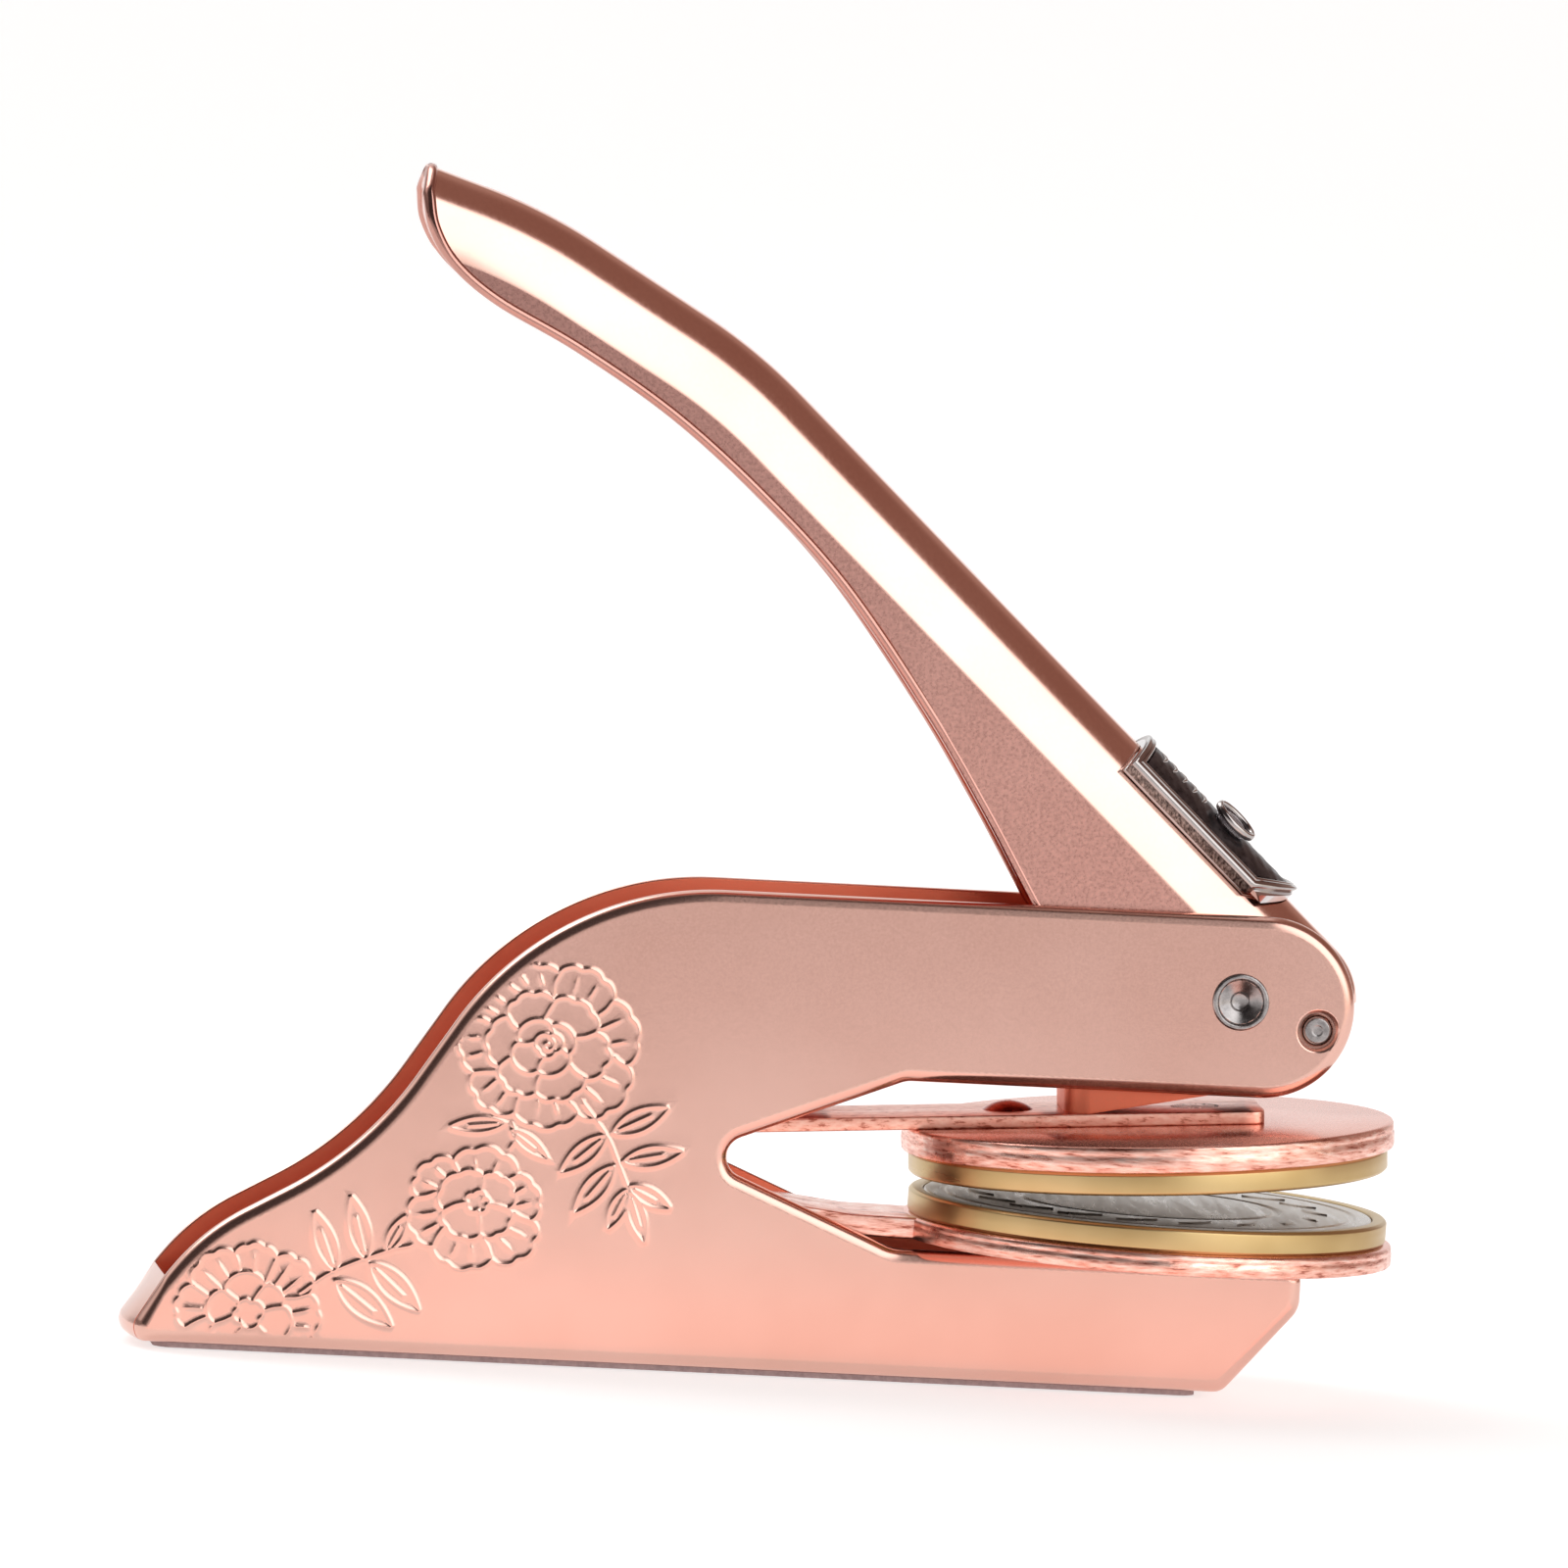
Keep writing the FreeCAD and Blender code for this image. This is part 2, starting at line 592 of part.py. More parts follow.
def face_insert():
    """The engraved disc that sits in a cup."""
    body = disc(DIE_RADIUS - CUP_RIM_WIDTH - FIT, INSERT_RECESS, INSERT_THICKNESS)
    rim = [edge for edge in body.Edges
           if edge.BoundBox.ZMax < INSERT_RECESS + 1e-6 and edge.BoundBox.ZLength < 1e-6]
    return body.makeChamfer(0.2, rim)


def upside_down(shape):
    turned = shape.copy()
    turned.rotate(V(0, 0, 0), V(1, 0, 0), 180)
    return turned


def upper_die_cup():
    return in_upper(cup(UPPER_CUP_THICKNESS))


def upper_die_insert():
    return in_upper(face_insert())


def lower_die_cup():
    return in_lower(upside_down(cup(LOWER_CUP_THICKNESS)))


def lower_die_insert():
    return in_lower(upside_down(face_insert()))


def upper_pad():
    """The round steel pad that the leaf carries and the upper die is fixed to."""
    body = disc(PAD_RADIUS, UPPER_CUP_THICKNESS, UPPER_PAD_THICKNESS)
    hole = disc(LEAF_RIVET_RADIUS + FIT, 0, 12, LEAF_RIVET_X)
    return in_upper(body.cut(hole).cut(flush_rivet_shape(FIT)))


def leaf_rivet():
    """The domed rivet behind the pressure block."""
    shank = disc(LEAF_RIVET_RADIUS, UPPER_CUP_THICKNESS,
                 LEAF_TOP - UPPER_CUP_THICKNESS + 0.1, LEAF_RIVET_X)
    head = dome(2.7, 0.95, LEAF_TOP, LEAF_RIVET_X)
    return in_upper(shank.fuse(head))


def flush_rivet_shape(gap):
    """A countersunk rivet under the pressure block, flush with the leaf's top."""
    shank = disc(1.5 + gap, UPPER_CUP_THICKNESS, LEAF_TOP - UPPER_CUP_THICKNESS, FLUSH_RIVET_X)
    head = Part.makeCone(1.5 + gap, 2.6 + gap, 1.1, V(FLUSH_RIVET_X, 0, LEAF_TOP - 1.1))
    return shank.fuse(head)


def leaf_flush_rivet():
    return in_upper(flush_rivet_shape(0.0))


def press_height():
    """Height of the pressure block's top above the upper die's face."""
    tilt = radians(UPPER_TILT)
    reach = (PUSHER[0] - UPPER_FACE[0], PUSHER[1] - UPPER_FACE[1])
    return -reach[0] * sin(tilt) + reach[1] * cos(tilt) - PUSHER_RADIUS - PRESS_GAP


def pressure_block():
    """The block on the leaf that the lever's cross pin pushes, with a relieved toe."""
    top = press_height()
    shoulder = LEAF_TOP + 3.5
    heel, toe, relief = -9.3, 7.7, 2.4
    arc_radius = (relief ** 2 + 6.0 ** 2) / (2 * relief)
    middle_x = toe - 6.0 + arc_radius * sin(0.55)
    middle_z = LEAF_TOP + arc_radius * (1 - cos(0.55))
    lower = [line((heel, LEAF_TOP), (toe - 6.0, LEAF_TOP)),
             Part.Arc(at((toe - 6.0, LEAF_TOP)), at((middle_x, middle_z)),
                      at((toe, LEAF_TOP + relief))).toShape(),
             line((toe, LEAF_TOP + relief), (toe, shoulder)),
             line((toe, shoulder), (heel, shoulder)),
             line((heel, shoulder), (heel, LEAF_TOP))]
    foot = slab(lower, CLIP_WIDTH / 2 - 0.1)
    upright = [edge for edge in foot.Edges
               if edge.BoundBox.XMax < heel + 0.01 and edge.BoundBox.YLength < 1e-6]
    foot = foot.makeFillet(2.6, upright)
    neck = Part.makeBox(11.0, 8.2, top - shoulder + 0.5, V(-6.5, -4.1, shoulder - 0.5))
    corners = [edge for edge in neck.Edges if edge.BoundBox.ZLength > 1]
    neck = neck.makeFillet(1.5, corners)
    return in_upper(foot.fuse(neck).removeSplitter())


# ---------------------------------------------------------------------------- badge

def crown_placement():
    """Local axes on the crown: X along its straight run, Z square to it, Y across."""
    start = at(CROWN_CORNERS[2])
    ahead = (at(CROWN_CORNERS[3]) - start).normalize()
    outward = V(-ahead.z, 0, ahead.x)
    datum = start + ahead * ((BADGE_DATUM_X - start.x) / ahead.x)
    origin = datum - outward * BADGE_AXIS_DEPTH
    rotation = FreeCAD.Rotation(ahead, Y_AXIS, outward, "XZY")
    return FreeCAD.Placement(origin, rotation)


def on_crown(shape):
    placed = shape.copy()
    placed.Placement = crown_placement().multiply(placed.Placement)
    return placed


def badge_layer(inner_radius, outer_radius, inset):
    """A layer of the curved badge: square at the upper end, with a round lower end."""
    start = BADGE_START + inset
    length = BADGE_END - inset - start
    half_angle = radians(BADGE_HALF_ANGLE) - inset / BADGE_RIM_RADIUS
    tube = Part.makeCylinder(outer_radius, length, V(start, 0, 0), V(1, 0, 0))
    tube = tube.cut(Part.makeCylinder(inner_radius, length, V(start, 0, 0), V(1, 0, 0)))
    reach = 20.0
    wedge = Part.Face(Part.makePolygon([
        V(start, 0, 0),
        V(start, -reach * sin(half_angle), reach * cos(half_angle)),
        V(start, reach * sin(half_angle), reach * cos(half_angle)),
        V(start, 0, 0)])).extrude(V(length, 0, 0))
    toe_centre = BADGE_END - BADGE_TOE_RADIUS
    plan = disc(BADGE_TOE_RADIUS - inset, 0, 12, toe_centre)
    plan = plan.fuse(Part.makeBox(toe_centre - start, 16, 12, V(start, -8, 0)))
    return tube.common(wedge).common(plan)


def badge_plate():
    return on_crown(badge_layer(BADGE_BASE_RADIUS, BADGE_FLOOR_RADIUS, 0.0).cut(
        fuse_all(stud_cylinders(0.9 + FIT))))


def badge_frame():
    rim = badge_layer(BADGE_FLOOR_RADIUS, BADGE_RIM_RADIUS, 0.0)
    return on_crown(rim.cut(badge_layer(BADGE_FLOOR_RADIUS - 1, BADGE_RIM_RADIUS + 1,
                                        BADGE_RIM_WIDTH)))


def badge_inlay():
    return on_crown(badge_layer(BADGE_FLOOR_RADIUS, BADGE_INLAY_RADIUS,
                                BADGE_RIM_WIDTH + RUNNING))


def oval(major, minor, bottom, height):
    """An upright oval column centred on the bezel's station."""
    column = Part.makeCylinder(1.0, height, V(0, 0, 0))
    stretch = FreeCAD.Matrix()
    stretch.scale(major, minor, 1.0)
    column = column.transformGeometry(stretch)
    column.translate(V(BEZEL_STATION, 0, bottom))
    return column


def badge_bezel():
    """An oval ring that holds the gem, seated on the curved inlay."""
    ring = oval(2.7, 2.0, 6.0, 2.9).cut(oval(2.1, 1.4, 5.0, 5.0))
    seat = Part.makeCylinder(BADGE_INLAY_RADIUS, 40, V(30, 0, 0), V(1, 0, 0))
    return on_crown(ring.cut(seat))


def badge_gem():
    """A smooth oval gem inside the bezel."""
    ball = Part.makeSphere(1.0)
    stretch = FreeCAD.Matrix()
    stretch.scale(2.05, 1.35, 1.6)
    gem = ball.transformGeometry(stretch)
    gem.translate(V(BEZEL_STATION, 0, 7.6))
    seat = Part.makeCylinder(BADGE_INLAY_RADIUS, 40, V(30, 0, 0), V(1, 0, 0))
    return on_crown(gem.cut(seat))


def stud_cylinders(radius):
    """Two prongs on the back of the badge, square to the crown."""
    bottom = BADGE_BASE_RADIUS - 2.8
    length = BADGE_FLOOR_RADIUS - 0.1 - bottom
    return [disc(radius, bottom, length, x) for x in (BADGE_START + 4.0, BADGE_END - 6.5)]


def badge_stud_solids(radius):
    return [on_crown(stud) for stud in stud_cylinders(radius)]


def badge_studs():
    return Part.makeCompound(badge_stud_solids(0.9))


# ----------------------------------------------------------------------------- export

NODES = {
    "body_frame": body_frame,
    "base_pad": base_pad,
    "pivot_rivet": pivot_rivet,
    "pivot_spacer": pivot_spacer,
    "stop_pin": stop_pin,
    "clip_lower_plate": clip_lower_plate,
    "clip_leaf_spring": clip_leaf_spring,
    "clip_spacer": clip_spacer,
    "clip_rear_rivets": clip_rear_rivets,
    "clip_screws": clip_screws,
    "lower_die_cup": lower_die_cup,
    "lower_die_insert": lower_die_insert,
    "upper_pad": upper_pad,
    "upper_die_cup": upper_die_cup,
    "upper_die_insert": upper_die_insert,
    "leaf_rivet": leaf_rivet,
    "leaf_flush_rivet": leaf_flush_rivet,
    "pressure_block": pressure_block,
    "pusher_pin": pusher_pin,
    "handle": handle,
    "badge_plate": badge_plate,
    "badge_frame": badge_frame,
    "badge_inlay": badge_inlay,
    "badge_bezel": badge_bezel,
    "badge_gem": badge_gem,
    "badge_studs": badge_studs,
}

os.makedirs("parts", exist_ok=True)
for name, make in NODES.items():
    shape = make()
    shape.exportStep("parts/" + name + ".step")
    box = shape.BoundBox
    print(f"{name:20s} solids {len(shape.Solids)} valid {shape.isValid()} "
          f"x {box.XMin:.2f}..{box.XMax:.2f} y {box.YMin:.2f}..{box.YMax:.2f} "
          f"z {box.ZMin:.2f}..{box.ZMax:.2f} volume {shape.Volume:.1f}")
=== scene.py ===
import math
import random

import bmesh
import bpy
import numpy as np
from mathutils import Matrix, Vector, kdtree
from mathutils.geometry import delaunay_2d_cdt


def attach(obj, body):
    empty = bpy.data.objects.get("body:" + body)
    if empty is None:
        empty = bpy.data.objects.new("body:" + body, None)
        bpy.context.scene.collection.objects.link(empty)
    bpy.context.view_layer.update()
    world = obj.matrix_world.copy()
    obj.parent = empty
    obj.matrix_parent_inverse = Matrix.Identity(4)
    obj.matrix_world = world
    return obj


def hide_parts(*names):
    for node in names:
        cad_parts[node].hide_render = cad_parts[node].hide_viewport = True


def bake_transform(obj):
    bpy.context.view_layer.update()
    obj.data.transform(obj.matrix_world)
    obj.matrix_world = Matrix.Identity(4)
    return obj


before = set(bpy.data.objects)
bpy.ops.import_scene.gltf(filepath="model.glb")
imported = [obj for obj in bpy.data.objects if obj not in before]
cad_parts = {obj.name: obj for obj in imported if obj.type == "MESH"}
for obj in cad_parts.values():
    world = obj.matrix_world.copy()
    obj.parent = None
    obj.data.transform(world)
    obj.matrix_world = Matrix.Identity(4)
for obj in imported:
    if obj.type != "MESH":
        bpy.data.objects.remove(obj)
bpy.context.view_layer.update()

# ---------------------------------------------------------------- the part's measures
# Lengths are in millimetres.  Side outlines are (x, z, corner radius) in the part's frame.

MM = 0.001

HALF_WIDTH = 8.0
HALF_GAP = 6.4
WEB_HALF = HALF_GAP + 0.05
EDGE_ROUND = 1.3
INNER_ROUND = 0.28
FRAME_CORNERS = [
    (10.0, 51.4, 0), (61.15, 51.4, 9.65), (61.15, 32.1, 9.65), (14.0, 32.1, 3.0),
    (-8.25, 23.25, 2.2), (13.6, 14.2, 5.0), (57.2, 14.2, 1.6), (57.2, 9.8, 3.0),
    (49.4, 0.6, 2.0), (-68.9, 0.6, 1.5), (-59.5, 12.8, 24.0), (-43.03, 22.27, 38.0),
    (-24.4, 51.4, 33.0), (10.0, 51.4, 0)]
PIVOT = (48.9, 42.3)
PIVOT_HOLE = 2.32
STOP = (57.3, 39.6)
STOP_HOLE = 1.53
STOP_BEVEL = 2.32
HOLE_POINTS = 56
TAIL_X = -67.3
TAIL_PLAN_RADIUS = 22.0
TAIL_LENGTH = 4

LEVER_HALF = 6.2
LEVER_WALL = 1.7
PUSHER = (39.75, 40.2)
CROWN_DEPTH = 8.2
CROWN_DRAFT = 0.08
CROWN_CORNERS = [(-60.0, 131.9, 0), (-29.1, 122.0, 60.0), (-5.55, 108.2, 60.0),
                 (62.1, 45.32, 7.5), (62.1, 10.0, 0)]
CROWN_STEPS = 54
CROWN_LEVELS = (0.02, 0.08, 0.18, 0.32, 0.5, 0.72, 1.0, 1.35, 1.75, 2.15, 2.6, 3.2, 3.9, 4.7,
                5.6, 6.5, 7.3, 7.9)
UNDER_POINTS = [(-42.2, 123.6), (-41.5, 119.8), (-39.1, 116.0), (-34.2, 112.2),
                (-25.3, 107.6), (-14.9, 101.1), (-5.0, 93.0), (4.2, 83.9),
                (13.9, 71.2), (20.5, 61.2), (26.3, 51.6)]

# A die stack is the centre of its die's face and its tilt in degrees.
UPPER = (Vector((41.0, 0.0, 23.2)), 3.7)
LOWER = (Vector((41.2, 0.0, 19.75)), -0.8)
DIE_RADIUS = 25.4
PAD_RADIUS = 26.15
CLIP_HALF = 6.1


# ------------------------------------------------------------------ geometry helpers

def fillet(before, corner, after):
    """The arc that rounds a corner: its centre, its start seen from there, and its turn."""
    tip = Vector(corner[:2])
    back = (Vector(before[:2]) - tip).normalized()
    ahead = (Vector(after[:2]) - tip).normalized()
    half = math.acos(max(-1, min(1, back.dot(ahead)))) / 2
    centre = tip + (back + ahead).normalized() * (corner[2] / math.sin(half))
    first = tip + back * (corner[2] / math.tan(half)) - centre
    sign = 1 if (-back).cross(ahead) > 0 else -1
    return centre, first, sign * (math.pi - 2 * half)


def arc_point(centre, first, angle):
    c, s = math.cos(angle), math.sin(angle)
    return centre + Vector((first.x * c - first.y * s, first.x * s + first.y * c))


def corner_path(corners, step=0.35):
    """Points along (x, z, radius) corners, with the round corners sampled as arcs."""
    points = [Vector(corners[0][:2])]
    for before, corner, after in zip(corners, corners[1:], corners[2:]):
        if corner[2] <= 0:
            points.append(Vector(corner[:2]))
            continue
        centre, first, turn = fillet(before, corner, after)
        count = max(4, math.ceil(corner[2] * abs(turn) / step), math.ceil(abs(turn) / 0.12))
        points += [arc_point(centre, first, turn * i / count) for i in range(count + 1)]
    points.append(Vector(corners[-1][:2]))
    clean = [points[0]]
    for p in points[1:]:
        if (p - clean[-1]).length > 1e-4:
            clean.append(p)
    return clean


def resample(points, step):
    """The same path with no gap between points longer than the step."""
    points = [Vector(p) for p in points]
    out = [points[0]]
    for a, b in zip(points, points[1:]):
        n = max(1, math.ceil((b - a).length / step))
        out += [a.lerp(b, i / n) for i in range(1, n + 1)]
    return out


def smooth_path(points, per_span=8):
    """A Catmull-Rom curve through 2-D points."""
    pts = [Vector(p) for p in points]
    pts = [pts[0] * 2 - pts[1]] + pts + [pts[-1] * 2 - pts[-2]]
    out = []
    for p0, p1, p2, p3 in zip(pts, pts[1:], pts[2:], pts[3:]):
        for i in range(per_span):
            t = i / per_span
            out.append(0.5 * ((2 * p1) + (p2 - p0) * t + (2 * p0 - 5 * p1 + 4 * p2 - p3) * t * t
                              + (3 * p1 - p0 - 3 * p2 + p3) * t ** 3))
    out.append(pts[-2])
    return out


def path_normals(points, closed=False):
    """Normals to the left of the path, longer where it bends so that offsets keep width."""
    n = len(points)
    normals = []
    for i, p in enumerate(points):
        a = points[(i - 1) % n] if closed or i > 0 else p
        b = points[(i + 1) % n] if closed or i < n - 1 else p
        d1 = (p - a).normalized() if (p - a).length > 0 else (b - p).normalized()
        d2 = (b - p).normalized() if (b - p).length > 0 else d1
        d = (d1 + d2).normalized()
        normals.append(Vector((-d.y, d.x)) * (1 / max(0.5, d.dot(d1))))
    return normals


def round_corners(corners, steps):
    """Quarter arcs from (centre x, centre y, radius, first angle in degrees) corners."""
    out = []
    for cx, cy, radius, start in corners:
        for k in range(steps + 1):
            a = math.radians(start + 90 / steps * k)
            out.append((cx + radius * math.cos(a), cy + radius * math.sin(a)))
    return out


def circle(centre, radius, count):
    angles = [2 * math.pi * k / count for k in range(count)]
    return [Vector((centre[0] + radius * math.cos(a), centre[1] + radius * math.sin(a)))
            for a in angles]


def polar(centre, radius, degrees):
    a = math.radians(degrees)
    return Vector((centre[0] + radius * math.cos(a), centre[1] + radius * math.sin(a)))


def tree_of(points):
    """A search tree of 2-D points."""
    tree = kdtree.KDTree(len(points))
    for index, p in enumerate(points):
        tree.insert((p.x, p.y, 0), index)
    tree.balance()
    return tree


def gap(tree, x, y):
    """The distance from a place to the nearest point of a tree."""
    return tree.find((x, y, 0))[2]


def inside(polygon, x, y):
    hit = False
    for a, b in zip(polygon, polygon[-1:] + polygon[:-1]):
        if (a.y > y) != (b.y > y) and x < (b.x - a.x) * (y - a.y) / (b.y - a.y) + a.x:
            hit = not hit
    return hit


def add_line(points, edges, line, loop=False):
    """Adds a line to the points of a triangulation, and its edges."""
    start, n = len(points), len(line)
    points += line
    edges += [(start + i, start + (i + 1) % n) for i in range(n if loop else n - 1)]


def triangulate(points, edges):
    verts, _, faces, _, _, _ = delaunay_2d_cdt(points, edges, [], 1, 1e-6)
    return verts, faces


def quads(rows, columns, loop=True, loop_rows=False, first=0):
    """Faces between rows of vertices; each row, and the set of rows, can be a loop."""
    faces = []
    for i in range(rows if loop_rows else rows - 1):
        a, b = first + i * columns, first + (i + 1) % rows * columns
        for j in range(columns if loop else columns - 1):
            k = (j + 1) % columns
            faces.append((a + j, a + k, b + k, b + j))
    return faces


def capped(rows, columns):
    """Faces of a tube of looped rows with a face over each end."""
    end = (rows - 1) * columns
    return quads(rows, columns) + [tuple(reversed(range(columns))),
                                   tuple(range(end, end + columns))]


def finish_mesh(obj, material, sharp):
    """Welds a mesh, turns its faces outwards and smooths all but its sharp edges."""
    mesh = obj.data
    bm = bmesh.new()
    bm.from_mesh(mesh)
    bmesh.ops.remove_doubles(bm, verts=bm.verts, dist=2e-6)
    bmesh.ops.recalc_face_normals(bm, faces=bm.faces)
    bm.to_mesh(mesh)
    bm.free()
    mesh.shade_smooth()
    mesh.set_sharp_from_angle(angle=math.radians(sharp))
    if material is not None:
        mesh.materials.clear()
        mesh.materials.append(material)


def new_object(name, verts, faces, material, sharp=32.0):
    """A mesh object from vertices in millimetres."""
    mesh = bpy.data.meshes.new(name)
    mesh.from_pydata([tuple(Vector(v) * MM) for v in verts], [], faces)
    mesh.validate()
    obj = bpy.data.objects.new(name, mesh)
    bpy.context.scene.collection.objects.link(obj)
    finish_mesh(obj, material, sharp)
    return obj


def lathe(rows, segments, wobble=None):
    """Vertices and faces of (radius, height, ...) rows turned about Z."""
    verts, rings, faces = [], [], []
    for row in rows:
        r, h = row[:2]
        start = len(verts)
        if r < 1e-6:
            verts.append((0, 0, h))
        else:
            for k in range(segments):
                a = 2 * math.pi * k / segments
                dr, dh = wobble(row, a) if wobble else (0.0, 0.0)
                verts.append(((r + dr) * math.cos(a), (r + dr) * math.sin(a), h + dh))
        rings.append(range(start, len(verts)))
    for lo, hi in zip(rings, rings[1:]):
        for k in range(segments if len(lo) + len(hi) > 2 else 0):
            m = (k + 1) % segments
            if len(lo) == 1:
                faces.append((lo[0], hi[m], hi[k]))
            elif len(hi) == 1:
                faces.append((lo[k], lo[m], hi[0]))
            else:
                faces.append((lo[k], lo[m], hi[m], hi[k]))
    return verts, faces


def rounded_profile(points, radius, steps):
    """A (radius, height) profile with its inner corners rounded."""
    out = [points[0]]
    for before, corner, after in zip(points, points[1:], points[2:]):
        c = Vector(corner)
        back = Vector(before) - c
        ahead = Vector(after) - c
        r = min(radius, back.length * 0.45, ahead.length * 0.45)
        p0 = c + back.normalized() * r
        p2 = c + ahead.normalized() * r
        for i in range(steps + 1):
            t = i / steps
            q = p0 * (1 - t) ** 2 + c * 2 * t * (1 - t) + p2 * t * t
            out.append((q.x, q.y))
    out.append(points[-1])
    return out


def revolve(profile, material, name, segments):
    return new_object(name, *lathe(profile, segments), material)


def bevel_edges(obj, width, angle=30.0):
    """Rounds the edges of a plain solid."""
    bm = bmesh.new()
    bm.from_mesh(obj.data)
    bmesh.ops.remove_doubles(bm, verts=bm.verts, dist=1e-6)
    edges = [e for e in bm.edges if len(e.link_faces) == 2
             and e.calc_face_angle(0) > math.radians(angle)]
    bmesh.ops.bevel(bm, geom=edges, offset=width * MM, segments=3, profile=0.5,
                    affect="EDGES", clamp_overlap=True)
    bm.to_mesh(obj.data)
    bm.free()
    obj.data.shade_smooth()
    obj.data.set_sharp_from_angle(angle=math.radians(40))


def join(objects, name):
    bpy.ops.object.select_all(action="DESELECT")
    for o in objects:
        o.select_set(True)
    bpy.context.view_layer.objects.active = objects[0]
    bpy.ops.object.join()
    objects[0].name = name
    objects[0].data.name = name
    return objects[0]


def in_stack(obj, stack, upside_down=False):
    """Moves a piece from a die stack's own tilted axes to the part's frame."""
    if upside_down:
        obj.data.transform(Matrix.Rotation(math.pi, 4, "X"))
    face, tilt = stack
    obj.data.transform(Matrix.Translation(face * MM)
                       @ Matrix.Rotation(math.radians(-tilt), 4, "Y"))
    return obj


def hand_over(obj, body, node):
    """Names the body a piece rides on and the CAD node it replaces."""
    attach(obj, body)
    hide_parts(node)


# ------------------------------------------------------------------------- materials

class Nodes:
    """A short way to build a node material."""

    def __init__(self, name, **shader):
        self.material = bpy.data.materials.new(name)
        self.material.use_nodes = True
        self.tree = self.material.node_tree
        self.tree.nodes.clear()
        out = self.add("ShaderNodeOutputMaterial")
        self.shader = self.add("ShaderNodeBsdfPrincipled")
        self.link(self.shader.outputs["BSDF"], out.inputs["Surface"])
        self.coords = self.add("ShaderNodeTexCoord").outputs["Object"]
        for key, value in shader.items():
            self.shader.inputs[key.replace("_", " ")].default_value = value

    def add(self, kind, inputs=(), **values):
        node = self.tree.nodes.new(kind)
        for key, value in values.items():
            setattr(node, key, value)
        for key, value in inputs:
            if isinstance(value, bpy.types.NodeSocket):
                self.link(value, node.inputs[key])
            else:
                node.inputs[key].default_value = value
        return node

    def link(self, a, b):
        self.tree.links.new(a, b)

    def noise(self, scale, detail=4.0, roughness=0.55, stretch=None):
        source = self.coords
        if stretch:
            source = self.add("ShaderNodeMapping", (("Scale", stretch), ("Vector", source))
                              ).outputs["Vector"]
        return self.add("ShaderNodeTexNoise", (
            ("Scale", scale), ("Detail", detail), ("Roughness", roughness), ("Vector", source))
            ).outputs["Fac"]

    def ramp(self, source, stops):
        node = self.add("ShaderNodeValToRGB", (("Fac", source),))
        elements = node.color_ramp.elements
        while len(elements) < len(stops):
            elements.new(0.5)
        for element, (position, colour) in zip(elements, stops):
            element.position = position
            element.color = tuple(colour) + (1.0,)
        return node.outputs["Color"]

    def remap(self, source, low, high, to_low, to_high):
        return self.add("ShaderNodeMapRange", (
            ("From Min", low), ("From Max", high), ("To Min", to_low), ("To Max", to_high),
            ("Value", source))).outputs["Result"]

    def mix(self, factor, a, b, mode="MIX"):
        a, b = (c + (1.0,) if isinstance(c, tuple) else c for c in (a, b))
        return self.add("ShaderNodeMix", ((0, factor), (6, a), (7, b)), data_type="RGBA",
                        blend_type=mode).outputs[2]

    def axis(self, name):
        return self.add("ShaderNodeSeparateXYZ", (("Vector", self.coords),)).outputs[name]

    def bump(self, height, strength, distance):
        node = self.add("ShaderNodeBump", (
            ("Strength", strength), ("Distance", distance), ("Height", height)))
        self.link(node.outputs["Normal"], self.shader.inputs["Normal"])

    def colour(self, socket):
        self.link(socket, self.shader.inputs["Base Color"])

    def rough(self, socket):
        self.link(socket, self.shader.inputs["Roughness"])


def srgb(tone):
    """The linear colour of a 0-255 display tone."""
    return tuple(c / 255 / 12.92 if c / 255 <= 0.04045 else ((c / 255 + 0.055) / 1.055) ** 2.4
                 for c in tone)


def rose_metal(name, light, deep, rough, grain, bump=0.05, fleck=0.05, tip=None):
    """Rose plating: cloudy and finely flecked; given a tip tone, it fades to that darker tone
    with height, painted shade for the lever's tip.
    """
    m = Nodes(name, Metallic=1.0)
    flake = m.noise(grain, 2.0, 0.7)
    tone = m.mix(m.remap(m.noise(45.0, 3.0), 0.3, 0.7, 0.0, 1.0), srgb(light), srgb(deep))
    # Painted shade: the colour darkens towards the top (the lever's tip), standing in for the
    # darker reflection there.
    if tip:
        tone = m.mix(m.remap(m.axis("Z"), 0.066, 0.116, 0.0, 1.0), tone, srgb(tip))
    flecks = m.ramp(flake, [(0.35, (1 - fleck,) * 3), (0.65, (1.0, 1.0, 1.0))])
    m.colour(m.mix(1.0, tone, flecks, "MULTIPLY"))
    m.rough(m.remap(flake, 0.3, 0.7, *rough))
    m.bump(flake, bump, 0.00004)
    return m.material


def surface(name, grain, tones, rough, bump, wear=None, wear_bump=True, **shader):
    """A material with its colour from one noise and its wear from that or another.

    `tones` are (noise value, display tone); `rough` maps noise values to roughness;
    `bump` is (strength, distance)."""
    m = Nodes(name, **shader)
    grain = m.noise(*grain)
    wear = m.noise(*wear) if wear else grain
    m.colour(m.ramp(grain, [(at, srgb(tone)) for at, tone in tones]))
    m.rough(m.remap(wear, *rough))
    if bump:
        m.bump(wear if wear_bump else grain, *bump)
    return m.material


